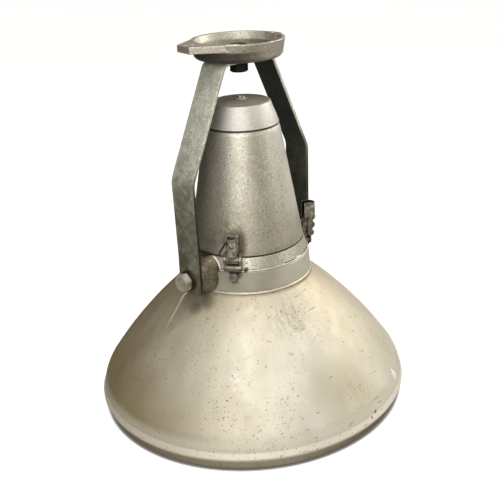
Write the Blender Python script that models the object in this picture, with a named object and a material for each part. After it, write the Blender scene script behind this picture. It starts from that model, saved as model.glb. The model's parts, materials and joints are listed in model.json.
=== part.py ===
"""Industrial pendant lamp: bell reflector, glass, cast housing, tilting yoke and swivelling plate.

Lengths are in millimetres and are turned into metres where a mesh is made. The lamp stands on
its rim: the origin is the centre of the rim's lowest plane, +Z runs up the lamp's axis, and the
yoke's tilt axis is parallel to X.
"""

import math

import bmesh
import bpy
from mathutils import Matrix, Vector

MM = 0.001
GAP = 0.3                      # space left between neighbouring pieces
RIM_FACETS = 48                # facets round the reflector and its glass
FINE = 32                      # facets round the castings
MEDIUM = 24                    # facets round parts about 60 mm across
COARSE = 12                    # facets round pins, bolts and bosses

# reflector, outside surface
LIP_RADIUS = 235.0
LIP_HEIGHT = 18.5
RIM_FOOT_RADIUS = 227.0
RIM_FOOT_HEIGHT = 1.5
CREASE_RADIUS = 232.2
CREASE_HEIGHT = 26.5
SHOULDER_ARC = 48.1            # radius of the bell's shoulder
SHOULDER_START = 8.0           # degrees from vertical
SHOULDER_END = 34.0
BELL_ARC = 635.0               # radius of the long, nearly straight flank
BELL_END = 50.8
NECK_FILLET = 7.0
REFLECTOR_WALL = 2.0
NECK_HOLE_RADIUS = 82.0

# glass and its gasket
GLASS_RADIUS = 216.0
GLASS_THICKNESS = 5.0
GLASS_BOTTOM = 6.0
GASKET_INNER_RADIUS = 207.0
GASKET_TOP = 15.5

# collar, suspension ring, housing and cap
COLLAR_BOTTOM = 189.7
COLLAR_TOP = 222.7
COLLAR_BOTTOM_RADIUS = 96.2
COLLAR_TOP_RADIUS = 93.8
COLLAR_WALL = 5.0
RING_BOTTOM = 223.0
RING_TOP = 242.4
RING_BOTTOM_RADIUS = 92.3
RING_TOP_RADIUS = 86.5
RING_BORE = 80.0
SEAM = 0.6                     # thickness of the seal under the housing
HOUSING_TOP = 421.0
HOUSING_BOTTOM_RADIUS = 86.2
HOUSING_TOP_RADIUS = 58.2
HOUSING_WALL = 4.0
CAP_SEAL = 1.6
CAP_EDGE_HEIGHT = 456.0
CAP_BOTTOM_RADIUS = 56.4
CAP_TOP_RADIUS = 44.2
CAP_DOME = 2.2
CAP_BOSS_RADIUS = 8.5
CAP_BOSS_TOP = 461.5

# yoke and its pivots
PIVOT_HEIGHT = 212.2
YOKE_WIDTH = 45.0
YOKE_THICKNESS = 5.0
YOKE_SPREAD_PIVOT = 120.4      # outside face of an arm at the pivot
YOKE_SPREAD_BEND = 124.4
YOKE_BEND_HEIGHT = 360.7
YOKE_SPREAD_TOP = 51.2
YOKE_TOP = 521.7
YOKE_END = 21.0                # from the pivot down to the end of each arm
YOKE_CORNER = 6.0
BOSS_FACE = 115.0
BOSS_FACE_RADIUS = 23.5
BOSS_ROOT = 88.0               # where the flared boss is 32 mm in radius
BOSS_ROOT_RADIUS = 32.0
PIVOT_BOLT_RADIUS = 8.0
PIVOT_HEAD_ACROSS_FLATS = 24.0
PIVOT_HEAD_THICKNESS = 10.0
WASHER_RADIUS = 15.0
WASHER_THICKNESS = 3.0
LOCK_WASHER_RADIUS = 12.6
LOCK_WASHER_THICKNESS = 3.6

# mounting plate
PLATE_BOTTOM = 522.0
PLATE_TOP = 550.4
PLATE_RADIUS = 70.0
PLATE_WALL = 6.0
PLATE_TURN = -10.0             # degrees the plate is swung on its bolt at rest
EAR_REACH = 94.0
EAR_HALF_WIDTH = 16.0
EAR_THICKNESS = 11.0
EAR_STEP = 0.3                 # the ears lie this far below the dish's edge
PAD_ANGLE = -141.0             # where a low cast pad stands on the dish's rim
PAD_HEIGHT = 1.2
EAR_SLOT_CENTRE = 82.0
LUG_REACH = 73.5               # the other side has a short lug inside the dish's wall
LUG_BOTTOM = 530.0
LUG_HOLE_CENTRE = 67.0
LUG_HOLE_RADIUS = 3.6
EAR_SLOT_RADIUS = 4.5
EAR_SLOT_HALF_LENGTH = 5.0     # from slot centre to the centre of each round end

# latches, in a local frame: x outwards from the lamp's axis, y along the rim, z up
LATCH_ANGLES = (213.0, 333.0, 93.0)
LEVER_PIVOT = (102.0, 246.0)
LEVER_TOP = 280.5
LEVER_BULGE = 4.0              # how far the round channel's centre stands out from the pin
LEVER_HALF_WIDTH = 7.5
LEVER_WALL = 1.4
KNUCKLE_RADIUS = 6.3
BAIL_PIVOT = (100.0, 254.0)
BAIL_BARREL = (101.5, 233.4)
BAIL_BARREL_RADIUS = 5.2
BAIL_DISC_RADIUS = 6.0         # round the lever's pin, in line with the knuckle
BAIL_HALF_WIDTH = 13.0
BAIL_ARM_INSIDE = 9.4
KEEPER_REACH = 101.3
KEEPER_TOP = 222.3
KEEPER_NOSE = 5.0

# inside: neck parts, lampholder and wiring
NECK_RING_TOP = 187.2
NECK_RING_OUTER = 90.5
NECK_RING_INNER = 66.0
NECK_SCREW_RADIUS = 84.5
FUNNEL_STEPS = ((60.0, 210.0), (46.0, 228.0), (36.0, 246.0))
HOLDER_RADIUS = 32.0
HOLDER_MOUTH = 240.0
HOLDER_TOP = 318.0
SHELL_RADIUS = 21.0
BRACKET_BOTTOM = 318.4
BRACKET_THICKNESS = 3.0
BRACKET_SCREW_X = 61.0


# ---------------------------------------------------------------- scene and materials

def clear_scene():
    for obj in list(bpy.data.objects):
        bpy.data.objects.remove(obj)


def material(name, colour, roughness, metallic):
    made = bpy.data.materials.new(name)
    made.use_nodes = True
    shader = made.node_tree.nodes["Principled BSDF"]
    shader.inputs["Base Color"].default_value = (*colour, 1.0)
    shader.inputs["Roughness"].default_value = roughness
    shader.inputs["Metallic"].default_value = metallic
    return made


def make_materials():
    return {
        "cream": material("cream_enamel", (0.62, 0.58, 0.47), 0.42, 0.0),
        "grey": material("grey_paint", (0.47, 0.46, 0.42), 0.5, 0.0),
        "cast": material("cast_aluminium", (0.50, 0.49, 0.44), 0.55, 0.6),
        "satin": material("satin_cap", (0.60, 0.59, 0.56), 0.4, 0.7),
        "galvanised": material("galvanised_steel", (0.36, 0.37, 0.31), 0.5, 0.8),
        "zinc": material("worn_zinc", (0.42, 0.40, 0.36), 0.45, 0.8),
        "dark_steel": material("dark_steel", (0.04, 0.04, 0.04), 0.5, 0.7),
        "bright_steel": material("bright_steel", (0.55, 0.55, 0.54), 0.35, 0.9),
        "mirror": material("polished_aluminium", (0.85, 0.86, 0.87), 0.12, 1.0),
        "glass": material("clear_glass", (0.80, 0.86, 0.84), 0.04, 0.0),
        "rubber": material("black_rubber", (0.03, 0.028, 0.025), 0.7, 0.0),
        "ceramic": material("white_ceramic", (0.75, 0.73, 0.68), 0.35, 0.0),
        "brass": material("nickelled_brass", (0.60, 0.50, 0.30), 0.3, 1.0),
        "insulation": material("wire_insulation", (0.45, 0.10, 0.06), 0.6, 0.0),
    }


# ---------------------------------------------------------------- mesh helpers

def finish(name, bm, stuff, smooth=True):
    """Turn a bmesh that is in millimetres into an object in metres."""
    bmesh.ops.remove_doubles(bm, verts=bm.verts, dist=1e-4)
    bmesh.ops.recalc_face_normals(bm, faces=bm.faces)
    bmesh.ops.scale(bm, vec=(MM, MM, MM), verts=bm.verts)
    mesh = bpy.data.meshes.new(name)
    bm.to_mesh(mesh)
    bm.free()
    if smooth:
        mesh.shade_smooth()
        mesh.set_sharp_from_angle(angle=math.radians(32))
    obj = bpy.data.objects.new(name, mesh)
    bpy.context.scene.collection.objects.link(obj)
    if stuff is not None:
        obj.data.materials.append(stuff)
    return obj


def turned(name, outline, stuff, facets=MEDIUM):
    """Spin an outline of (radius, height) points round Z; it closes itself or ends on the axis."""
    bm = bmesh.new()
    verts = [bm.verts.new((r, 0.0, z)) for r, z in outline]
    edges = [bm.edges.new(pair) for pair in zip(verts, verts[1:])]
    if outline[0][0] > 0 or outline[-1][0] > 0:
        edges.append(bm.edges.new((verts[-1], verts[0])))
    bmesh.ops.spin(bm, geom=verts + edges, axis=(0, 0, 1), cent=(0, 0, 0), steps=facets,
                   angle=2 * math.pi, use_merge=True)
    return finish(name, bm, stuff)


def extruded(name, outline, low, high, stuff, frame=Matrix.Identity(4)):
    """Raise a closed outline of (x, y) points from z = low to z = high, then place it."""
    bm = bmesh.new()
    face = bm.faces.new([bm.verts.new((x, y, low)) for x, y in outline])
    raised = bmesh.ops.extrude_face_region(bm, geom=[face])
    top = [item for item in raised["geom"] if isinstance(item, bmesh.types.BMVert)]
    bmesh.ops.translate(bm, vec=(0, 0, high - low), verts=top)
    bmesh.ops.transform(bm, matrix=frame, verts=bm.verts)
    return finish(name, bm, stuff, smooth=False)


def rod(name, radius, start, end, stuff, facets=COARSE):
    """A round bar between two points."""
    start = Vector(start)
    along = Vector(end) - start
    bm = bmesh.new()
    turn = along.to_track_quat("Z", "Y").to_matrix().to_4x4()
    place = Matrix.Translation(start + along / 2) @ turn
    bmesh.ops.create_cone(bm, cap_ends=True, segments=facets, radius1=radius, radius2=radius,
                          depth=along.length, matrix=place)
    return finish(name, bm, stuff)


def box(name, low, high, stuff):
    bm = bmesh.new()
    centre = (Vector(low) + Vector(high)) / 2
    size = Vector(high) - Vector(low)
    place = Matrix.Translation(centre) @ Matrix.Diagonal((*size, 1))
    bmesh.ops.create_cube(bm, size=1.0, matrix=place)
    return finish(name, bm, stuff, smooth=False)


def wire(name, points, radius, stuff):
    """A smooth round wire through the given points."""
    curve = bpy.data.curves.new(name, "CURVE")
    curve.dimensions = "3D"
    curve.bevel_depth = radius * MM
    curve.bevel_resolution = 1
    curve.resolution_u = 2
    curve.use_fill_caps = True
    spline = curve.splines.new("NURBS")
    spline.points.add(len(points) - 1)
    for knot, point in zip(spline.points, points):
        knot.co = (*(Vector(point) * MM), 1.0)
    spline.order_u = 3
    spline.use_endpoint_u = True
    obj = bpy.data.objects.new(name, curve)
    bpy.context.scene.collection.objects.link(obj)
    curve.materials.append(stuff)
    return obj


def combine(target, tool, operation):
    """Cut a tool from a piece, or weld it on; the tool itself is only a guide."""
    change = target.modifiers.new(tool.name, "BOOLEAN")
    change.operation = operation
    change.object = tool
    tool.hide_render = True
    tool.display_type = "WIRE"


def cut(target, *tools):
    for tool in tools:
        combine(target, tool, "DIFFERENCE")


def weld(target, *tools):
    for tool in tools:
        combine(target, tool, "UNION")


def hexagon(across_flats):
    radius = across_flats / math.sqrt(3)
    return [(radius * math.cos(math.radians(60 * k)), radius * math.sin(math.radians(60 * k)))
            for k in range(6)]


def arc(centre, radius, start, end, steps):
    """Points on an arc, angles in degrees."""
    turns = [math.radians(start + (end - start) * k / steps) for k in range(steps + 1)]
    return [(centre[0] + radius * math.cos(t), centre[1] + radius * math.sin(t)) for t in turns]


def sideways(sign):
    """Frame whose Z points along the pivot axis, away from the lamp, on the side of sign."""
    return Matrix.Translation((0, 0, PIVOT_HEIGHT)) @ Matrix.Rotation(sign * math.pi / 2, 4, "Y")


# ---------------------------------------------------------------- reflector and glass

def bell_curve(start, slopes, radius, steps):
    """Points up a convex flank; slopes are degrees from vertical at its two ends."""
    low, high = (math.radians(s) for s in slopes)
    points = []
    for k in range(1, steps + 1):
        slope = low + (high - low) * k / steps
        points.append((start[0] - radius * (math.cos(low) - math.cos(slope)),
                       start[1] + radius * (math.sin(slope) - math.sin(low))))
    return points


def bell_profile():
    """The reflector's outside from its rim foot to the top of its neck."""
    points = [(RIM_FOOT_RADIUS, RIM_FOOT_HEIGHT), (LIP_RADIUS - 0.8, LIP_HEIGHT - 2.0),
              (LIP_RADIUS, LIP_HEIGHT), (CREASE_RADIUS, CREASE_HEIGHT)]
    points += bell_curve(points[-1], (SHOULDER_START, SHOULDER_END), SHOULDER_ARC, 2)
    points += bell_curve(points[-1], (SHOULDER_END, BELL_END), BELL_ARC, 3)
    slope = math.radians(BELL_END)
    radius = points[-1][0] - NECK_FILLET * (1 - math.cos(slope))
    points.append((radius + 0.7, points[-1][1] + 0.6 * NECK_FILLET * math.sin(slope)))
    points.append((radius, COLLAR_BOTTOM - GAP))
    return points


def offset_inwards(profile, distance):
    """The same profile, moved towards the lamp's axis and down by a wall thickness."""
    moved = []
    for k, (r, z) in enumerate(profile):
        before = profile[max(k - 1, 0)]
        after = profile[min(k + 1, len(profile) - 1)]
        run, rise = after[0] - before[0], after[1] - before[1]
        length = math.hypot(run, rise)
        moved.append((r - distance * rise / length, z + distance * run / length))
    return moved


def make_reflector(stuff):
    outside = bell_profile()
    inside = offset_inwards(outside[3:-1], REFLECTOR_WALL)
    neck = [(NECK_HOLE_RADIUS, COLLAR_BOTTOM - GAP),
            (NECK_HOLE_RADIUS, COLLAR_BOTTOM - GAP - REFLECTOR_WALL),
            (outside[-1][0] - REFLECTOR_WALL, COLLAR_BOTTOM - GAP - REFLECTOR_WALL)]
    foot = [(LIP_RADIUS - REFLECTOR_WALL, LIP_HEIGHT),
            (RIM_FOOT_RADIUS - 1.2, RIM_FOOT_HEIGHT + 0.4)]
    turned("reflector", outside + neck + inside[::-1] + foot, stuff["cream"], RIM_FACETS)


def make_glass(stuff):
    top = GLASS_BOTTOM + GLASS_THICKNESS
    turned("lens_glass", [(0, GLASS_BOTTOM), (GLASS_RADIUS, GLASS_BOTTOM), (GLASS_RADIUS, top),
                          (0, top)], stuff["glass"], RIM_FACETS)
    groove_low = GLASS_BOTTOM - GAP
    groove_high = top + GAP
    back = GLASS_RADIUS + GAP
    outline = [(GASKET_INNER_RADIUS, 0.0), (RIM_FOOT_RADIUS - 2.6, 0.0),
               (LIP_RADIUS - 4.4, GASKET_TOP), (GASKET_INNER_RADIUS + 1, GASKET_TOP),
               (GASKET_INNER_RADIUS, groove_high),
               (back, groove_high), (back, groove_low), (GASKET_INNER_RADIUS, groove_low)]
    turned("lens_gasket", outline, stuff["rubber"], RIM_FACETS)


# ---------------------------------------------------------------- housing castings

def collar_radius(height):
    """Outside radius of the collar at a height."""
    share = (height - COLLAR_BOTTOM) / (COLLAR_TOP - COLLAR_BOTTOM)
    return COLLAR_BOTTOM_RADIUS + share * (COLLAR_TOP_RADIUS - COLLAR_BOTTOM_RADIUS)


def ring_radius(height):
    share = (height - RING_BOTTOM) / (RING_TOP - RING_BOTTOM)
    return RING_BOTTOM_RADIUS + share * (RING_TOP_RADIUS - RING_BOTTOM_RADIUS)


def make_collar(stuff):
    seal_seat = COLLAR_TOP - 3.5
    flange_top = COLLAR_BOTTOM + 4.3
    inner = COLLAR_TOP_RADIUS - COLLAR_WALL - 1.5
    outline = [(76.0, COLLAR_BOTTOM), (COLLAR_BOTTOM_RADIUS, COLLAR_BOTTOM),
               (collar_radius(COLLAR_TOP - 2), COLLAR_TOP - 2), (COLLAR_TOP_RADIUS - 1.6, COLLAR_TOP),
               (88.0, COLLAR_TOP), (88.0, seal_seat), (80.5, seal_seat), (80.5, seal_seat - 4),
               (inner, seal_seat - 8), (inner, flange_top), (76.0, flange_top)]
    turned("reflector_collar", outline, stuff["grey"], FINE)
    seal = [(81.0, seal_seat + GAP), (87.6, seal_seat + GAP), (87.6, COLLAR_TOP), (81.0, COLLAR_TOP)]
    turned("collar_seal", seal, stuff["rubber"], MEDIUM)


def widen(boss, at, factor):
    """Scale the end of a boss that lies at x = at, about the pivot axis."""
    for vertex in boss.data.vertices:
        if abs(vertex.co.x - at * MM) < 1e-6:
            vertex.co.y *= factor
            vertex.co.z = (vertex.co.z - PIVOT_HEIGHT * MM) * factor + PIVOT_HEIGHT * MM


def make_suspension_ring(stuff):
    ring = turned("suspension_ring", [(RING_BORE, RING_BOTTOM), (RING_BOTTOM_RADIUS, RING_BOTTOM),
                                      (RING_TOP_RADIUS, RING_TOP), (RING_BORE, RING_TOP)],
                  stuff["cast"], FINE)
    clear = COLLAR_BOTTOM_RADIUS + 1.0
    low = PIVOT_HEIGHT - BOSS_ROOT_RADIUS - 8
    collar_room = turned("collar_room", [(0, low), (clear, low), (clear, RING_BOTTOM - 0.1),
                                         (0, RING_BOTTOM - 0.1)], None, FINE)
    bore_room = turned("bore_room", [(0, low), (RING_BORE + 3, low), (RING_BORE + 3, RING_TOP + 20),
                                     (0, RING_TOP + 20)], None, FINE)
    seal_room = turned("seal_room", [(RING_BORE - 9, RING_TOP - 0.4), (130, RING_TOP - 0.4),
                                     (130, RING_TOP + 15), (RING_BORE - 9, RING_TOP + 15)], None, FINE)
    bell_room = turned("bell_room", [(0, low - 30), (150, low - 30), (150, 146), (100, 186.5),
                                     (97, 191.5), (0, 191.5)], None, FINE)
    flare = (BOSS_ROOT_RADIUS - BOSS_FACE_RADIUS) / (BOSS_FACE - BOSS_ROOT)
    root = BOSS_FACE_RADIUS + flare * (BOSS_FACE - RING_BORE - 1)
    for side, sign in (("left", -1), ("right", 1)):
        boss = extruded("boss_" + side, arc((0, 0), BOSS_FACE_RADIUS, 0, 345, 23), RING_BORE + 1,
                        BOSS_FACE, None, sideways(sign))
        widen(boss, sign * (RING_BORE + 1), root / BOSS_FACE_RADIUS)
        bore = rod("bore_" + side, PIVOT_BOLT_RADIUS + GAP, (sign * 90, 0, PIVOT_HEIGHT),
                   (sign * (BOSS_FACE + 5), 0, PIVOT_HEIGHT), None)
        cut(boss, collar_room, bore_room, seal_room, bell_room, bore)
        weld(ring, boss)


def make_housing(stuff):
    bottom = RING_TOP + SEAM + GAP
    turned("body_seal", [(RING_BORE + 1, RING_TOP + GAP / 2), (RING_TOP_RADIUS - 0.7, RING_TOP + GAP / 2),
                         (HOUSING_BOTTOM_RADIUS - 0.7, bottom - GAP / 2),
                         (RING_BORE + 1, bottom - GAP / 2)], stuff["rubber"], MEDIUM)
    shoulder = HOUSING_TOP - 11
    outline = [(RING_BORE + 1, bottom), (HOUSING_BOTTOM_RADIUS, bottom),
               (HOUSING_TOP_RADIUS, shoulder), (HOUSING_TOP_RADIUS - 0.7, shoulder + 5),
               (HOUSING_TOP_RADIUS - 2.4, HOUSING_TOP), (44.0, HOUSING_TOP),
               (44.0, HOUSING_TOP - 4), (HOUSING_TOP_RADIUS - HOUSING_WALL, HOUSING_TOP - 14),
               (HOUSING_BOTTOM_RADIUS - HOUSING_WALL, bottom + 5),
               (RING_BORE + 1, bottom + 3)]
    body = turned("housing_body", outline, stuff["cast"], FINE)
    for side, sign in (("left", -1), ("right", 1)):
        lug = box("lug_" + side, (sign * 64 - 9, -9, BRACKET_BOTTOM - 14),
                  (sign * 64 + 9, 9, BRACKET_BOTTOM - GAP), None)
        hole = rod("lug_hole_" + side, 2.3, (sign * BRACKET_SCREW_X, 0, BRACKET_BOTTOM - 12),
                   (sign * BRACKET_SCREW_X, 0, BRACKET_BOTTOM + 2), None, 12)
        weld(body, lug)
        cut(body, hole)


def make_cap(stuff):
    seal_top = HOUSING_TOP + CAP_SEAL
    turned("cap_seal", [(45.0, HOUSING_TOP + GAP / 2), (CAP_BOTTOM_RADIUS - 1.2, HOUSING_TOP + GAP / 2),
                        (CAP_BOTTOM_RADIUS - 1.2, seal_top - GAP / 2), (45.0, seal_top - GAP / 2)],
           stuff["rubber"], MEDIUM)
    crown = CAP_EDGE_HEIGHT + CAP_DOME
    bore = 4.6
    outline = [(CAP_BOTTOM_RADIUS, seal_top), (CAP_TOP_RADIUS + 0.4, CAP_EDGE_HEIGHT - 1.2),
               (CAP_TOP_RADIUS - 0.8, CAP_EDGE_HEIGHT), (CAP_TOP_RADIUS / 2, crown - 0.7),
               (CAP_BOSS_RADIUS + 1.5, crown), (CAP_BOSS_RADIUS - 1.0, CAP_BOSS_TOP),
               (bore, CAP_BOSS_TOP), (bore, CAP_BOSS_TOP - 8), (CAP_TOP_RADIUS - 5, CAP_EDGE_HEIGHT - 5),
               (CAP_BOTTOM_RADIUS - 5, seal_top + 4), (45.0, seal_top + 4), (45.0, seal_top)]
    turned("housing_cap", outline, stuff["satin"], FINE)
    flange = CAP_BOSS_TOP + GAP
    foot = CAP_BOSS_TOP - 12
    bush = [(2.8, foot), (bore - GAP, foot), (bore - GAP, flange), (6.4, flange), (6.0, flange + 1.4),
            (2.8, flange + 1.4)]
    turned("cable_bush", bush, stuff["brass"], COARSE)


# ---------------------------------------------------------------- neck and lampholder

def make_neck(stuff):
    base = NECK_RING_TOP - 2.8
    rib = base - 4.0
    ring = turned("neck_ring", [(NECK_RING_INNER, base), (71.5, base), (71.5, rib), (74.0, rib),
                                (74.0, rib + 2.4), (76.0, rib + 2.4), (76.0, rib), (78.5, rib),
                                (78.5, base), (NECK_RING_OUTER, base),
                                (NECK_RING_OUTER, NECK_RING_TOP), (NECK_RING_INNER, NECK_RING_TOP)],
                  stuff["mirror"], MEDIUM)
    for number in range(6):
        angle = math.radians(20 + 60 * number)
        slot = box("slot_%d" % (number + 1), (70.0, -2.2, rib - 1), (80.0, 2.2, base), None)
        slot.rotation_euler[2] = angle
        cut(ring, slot)
    for number in range(3):
        angle = math.radians(60 + 120 * number)
        direction = Vector((math.cos(angle), math.sin(angle), 0)) * NECK_SCREW_RADIUS
        hole = rod("screw_hole_%d" % (number + 1), 2.4, direction + Vector((0, 0, base - 2)),
                   direction + Vector((0, 0, NECK_RING_TOP + 2)), None, 12)
        cut(ring, hole)
        screw = turned("neck_screw_%d" % (number + 1),
                       [(0, base - 2.6), (3.0, base - 2.4), (4.0, base - 1.0), (4.0, base - GAP),
                        (2.0, base - GAP), (2.0, NECK_RING_TOP), (0, NECK_RING_TOP)],
                       stuff["bright_steel"], 12)
        screw.location = direction * MM


def make_funnel(stuff):
    """A polished sheet stepped like an upside-down cake, from the neck to the lampholder."""
    sheet = 1.2
    base = COLLAR_BOTTOM + 4.3 + GAP
    outer = [(84.0, base), (84.0, base + sheet)]
    inner = []
    previous = base
    for radius, height in FUNNEL_STEPS:
        outer += [(radius + sheet, previous + sheet), (radius + sheet, height + sheet)]
        inner += [(radius, previous), (radius, height)]
        previous = height
    del outer[-1]
    del inner[-1]
    top = FUNNEL_STEPS[-1][1]
    last = FUNNEL_STEPS[-1][0]
    outline = outer + [(last + sheet, top), (last, top)] + inner[::-1]
    turned("neck_funnel", outline, stuff["mirror"], MEDIUM)


def make_lampholder(stuff):
    bore = SHELL_RADIUS + GAP
    seat = HOLDER_TOP - 20
    turned("lampholder_body", [(bore, HOLDER_MOUTH), (HOLDER_RADIUS, HOLDER_MOUTH),
                               (HOLDER_RADIUS, HOLDER_TOP - 22), (HOLDER_RADIUS - 3, HOLDER_TOP - 18),
                               (HOLDER_RADIUS - 3, HOLDER_TOP), (4.5, HOLDER_TOP), (4.5, seat),
                               (bore, seat)], stuff["ceramic"], MEDIUM)
    wall = 1.1
    turned("lampholder_shell", [(SHELL_RADIUS - wall, HOLDER_MOUTH + 4), (SHELL_RADIUS, HOLDER_MOUTH + 4),
                                (SHELL_RADIUS, seat - 10), (SHELL_RADIUS - wall, seat - 10)],
           stuff["brass"])
    turned("lampholder_contact", [(0, seat - 8), (6.0, seat - 7.5), (7.5, seat - 5.5), (7.5, seat - 3.0),
                                  (3.2, seat - 3.0), (3.2, HOLDER_TOP - 4), (0, HOLDER_TOP - 4)],
           stuff["brass"], COARSE)


def make_bracket_and_wiring(stuff):
    top = BRACKET_BOTTOM + BRACKET_THICKNESS
    bracket = box("lampholder_bracket", (-66.5, -13, BRACKET_BOTTOM), (66.5, 13, top), stuff["galvanised"])
    for side, sign in (("left", -1), ("right", 1)):
        x = sign * BRACKET_SCREW_X
        hole = rod("bracket_hole_" + side, 2.4, (x, 0, BRACKET_BOTTOM - 2), (x, 0, top + 2), None, 12)
        cut(bracket, hole)
        screw = turned("bracket_screw_" + side,
                       [(0, BRACKET_BOTTOM - 11), (2.0, BRACKET_BOTTOM - 11), (2.0, top + GAP),
                        (4.2, top + GAP), (4.2, top + 2.0), (2.6, top + 3.2), (0, top + 3.2)],
                       stuff["bright_steel"], 12)
        screw.location[0] = x * MM
    turned("earth_screw", [(0, top + GAP), (4.0, top + GAP), (4.0, top + 1.8), (2.4, top + 2.8),
                           (0, top + 2.8)], stuff["brass"], 12).location[0] = 40 * MM
    box("terminal_block", (-22, -9, top + GAP), (22, 9, top + 17), stuff["ceramic"])
    for name, x in (("lead_live", -12), ("lead_neutral", 12)):
        wire(name, [(x, 9 + GAP, top + 9), (x, 18, top + 9), (x, 23, top + 6), (x, 23.5, top - 1),
                    (x, 23.5, HOLDER_TOP + GAP)], 1.6, stuff["insulation"])


# ---------------------------------------------------------------- yoke, pivots and plate

def rounded_path(corners):
    """Points along straight runs with rounded corners; each corner is (x, z, bend radius)."""
    points = [Vector(corners[0][:2])]
    for before, corner, after in zip(corners, corners[1:], corners[2:]):
        here = Vector(corner[:2])
        arrive = (here - Vector(before[:2])).normalized()
        leave = (Vector(after[:2]) - here).normalized()
        turn = arrive.angle_signed(leave)
        reach = corner[2] * math.tan(abs(turn) / 2)
        steps = max(1, round(abs(math.degrees(turn)) / 14))
        begin = here - arrive * reach
        normal = Vector((arrive.y, -arrive.x)) * math.copysign(1.0, turn)
        centre = begin + normal * corner[2]
        for k in range(steps + 1):
            swing = Matrix.Rotation(-turn * k / steps, 2)
            points.append(centre + swing @ (begin - centre))
    points.append(Vector(corners[-1][:2]))
    return points


def yoke_centre_line():
    half = YOKE_THICKNESS / 2
    pivot_x = YOKE_SPREAD_PIVOT - half
    straight_top = PIVOT_HEIGHT + 30
    right = [(pivot_x, PIVOT_HEIGHT, 0), (pivot_x, straight_top, 90),
             (YOKE_SPREAD_BEND - half, YOKE_BEND_HEIGHT, 30), (YOKE_SPREAD_TOP - half, YOKE_TOP - half, 12)]
    left = [(-x, z, bend) for x, z, bend in right]
    return rounded_path(left + right[::-1])


def make_yoke(stuff):
    """A flat bar bent over the housing, with blunt, rounded ends below the pivots."""
    line = yoke_centre_line()
    half_width = YOKE_WIDTH / 2
    stations = [(point, half_width) for point in line]
    for step in range(4):
        swing = math.radians(25 * step)
        drop = Vector((0, YOKE_CORNER - YOKE_END - YOKE_CORNER * math.sin(swing)))
        half = half_width - YOKE_CORNER * (1 - math.cos(swing))
        stations.insert(0, (line[0] + drop, half))
        stations.append((line[-1] + drop, half))
    bm = bmesh.new()
    loops = []
    for k, (point, half) in enumerate(stations):
        before = stations[max(k - 1, 0)][0]
        after = stations[min(k + 1, len(stations) - 1)][0]
        along = (after - before).normalized()
        side = Vector((-along.y, along.x)) * YOKE_THICKNESS / 2
        corners = ((point + side, -half), (point + side, half), (point - side, half), (point - side, -half))
        loops.append([bm.verts.new((flat.x, y, flat.y)) for flat, y in corners])
    for first, second in zip(loops, loops[1:]):
        for k in range(4):
            bm.faces.new((first[k], first[(k + 1) % 4], second[(k + 1) % 4], second[k]))
    bm.faces.new(loops[0])
    bm.faces.new(loops[-1])
    yoke = finish("yoke", bm, stuff["galvanised"])
    reach = YOKE_SPREAD_PIVOT + 10
    for side, sign in (("left", -1), ("right", 1)):
        cut(yoke, rod("yoke_hole_" + side, PIVOT_BOLT_RADIUS + GAP, (sign * 90, 0, PIVOT_HEIGHT),
                      (sign * reach, 0, PIVOT_HEIGHT), None))
    cut(yoke, rod("yoke_hole_top", PIVOT_BOLT_RADIUS + GAP, (0, 0, YOKE_TOP - 15),
                  (0, 0, YOKE_TOP + 5), None))


def make_pivots(stuff):
    """Bolt, flat washer and lock washer on each side; the left bolt also carries a wire."""
    for side, sign in (("left", -1), ("right", 1)):
        place = sideways(sign)
        washer = YOKE_SPREAD_PIVOT + GAP
        lock = washer + WASHER_THICKNESS + GAP
        head = lock + LOCK_WASHER_THICKNESS + GAP
        for name, radius, start, thickness in (
                ("pivot_washer_", WASHER_RADIUS, washer, WASHER_THICKNESS),
                ("pivot_lock_washer_", LOCK_WASHER_RADIUS, lock, LOCK_WASHER_THICKNESS)):
            bore = PIVOT_BOLT_RADIUS + GAP
            ring = turned(name + side, [(bore, start), (radius, start), (radius, start + thickness),
                                        (bore, start + thickness)], stuff["dark_steel"], 16)
            ring.rotation_euler[1] = sign * math.pi / 2
            ring.location[2] = PIVOT_HEIGHT * MM
        bolt = extruded("pivot_bolt_" + side, hexagon(PIVOT_HEAD_ACROSS_FLATS), head,
                        head + PIVOT_HEAD_THICKNESS, stuff["bright_steel"], place)
        weld(bolt, rod("pivot_shank_" + side, PIVOT_BOLT_RADIUS, (sign * 99, 0, PIVOT_HEIGHT),
                       (sign * (head + 2), 0, PIVOT_HEIGHT), None))
    lowest = PIVOT_HEIGHT - PIVOT_HEAD_ACROSS_FLATS / 2 - 1.8
    wire("safety_wire", [(-133, -6, lowest), (-136, -3, lowest - 2), (-139, 0, lowest - 12),
                         (-144, 6, lowest - 26), (-150, 12, lowest - 41), (-155, 17, lowest - 53)],
         1.5, stuff["bright_steel"])


def ear_outline():
    """The blunt ear, seen from above; its inner edge lies inside the dish's wall."""
    corner_distance = math.hypot(EAR_REACH, EAR_HALF_WIDTH)
    corner_angle = math.degrees(math.atan2(EAR_HALF_WIDTH, EAR_REACH))
    root = PLATE_RADIUS - 2.6
    spread = corner_angle + math.degrees(math.acos(root / corner_distance))
    buried = arc((0, 0), PLATE_RADIUS - 4, spread, -spread, 8)
    touch = math.radians(spread)
    upper = (root * math.cos(touch), root * math.sin(touch))
    points = [(EAR_REACH, -EAR_HALF_WIDTH), (EAR_REACH, EAR_HALF_WIDTH), upper] + buried
    points.append((upper[0], -upper[1]))
    return [(-x, -y) for x, y in points]


def make_lug():
    """A short full-depth lug opposite the ear, with its foot on the floor of the dish."""
    outline = [(LUG_REACH, -11.0), (LUG_REACH, 11.0), (66.5, 18.0), (60.5, 14.0), (60.5, -14.0),
               (66.5, -18.0)]
    lug = extruded("lug", outline, LUG_BOTTOM, PLATE_TOP - EAR_STEP, None)
    foot = [(65.0, -13.0), (65.0, 13.0), (59.5, 13.0), (59.5, -13.0)]
    return lug, extruded("lug_foot", foot, PLATE_BOTTOM + 4, PLATE_TOP - 4, None)


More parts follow.
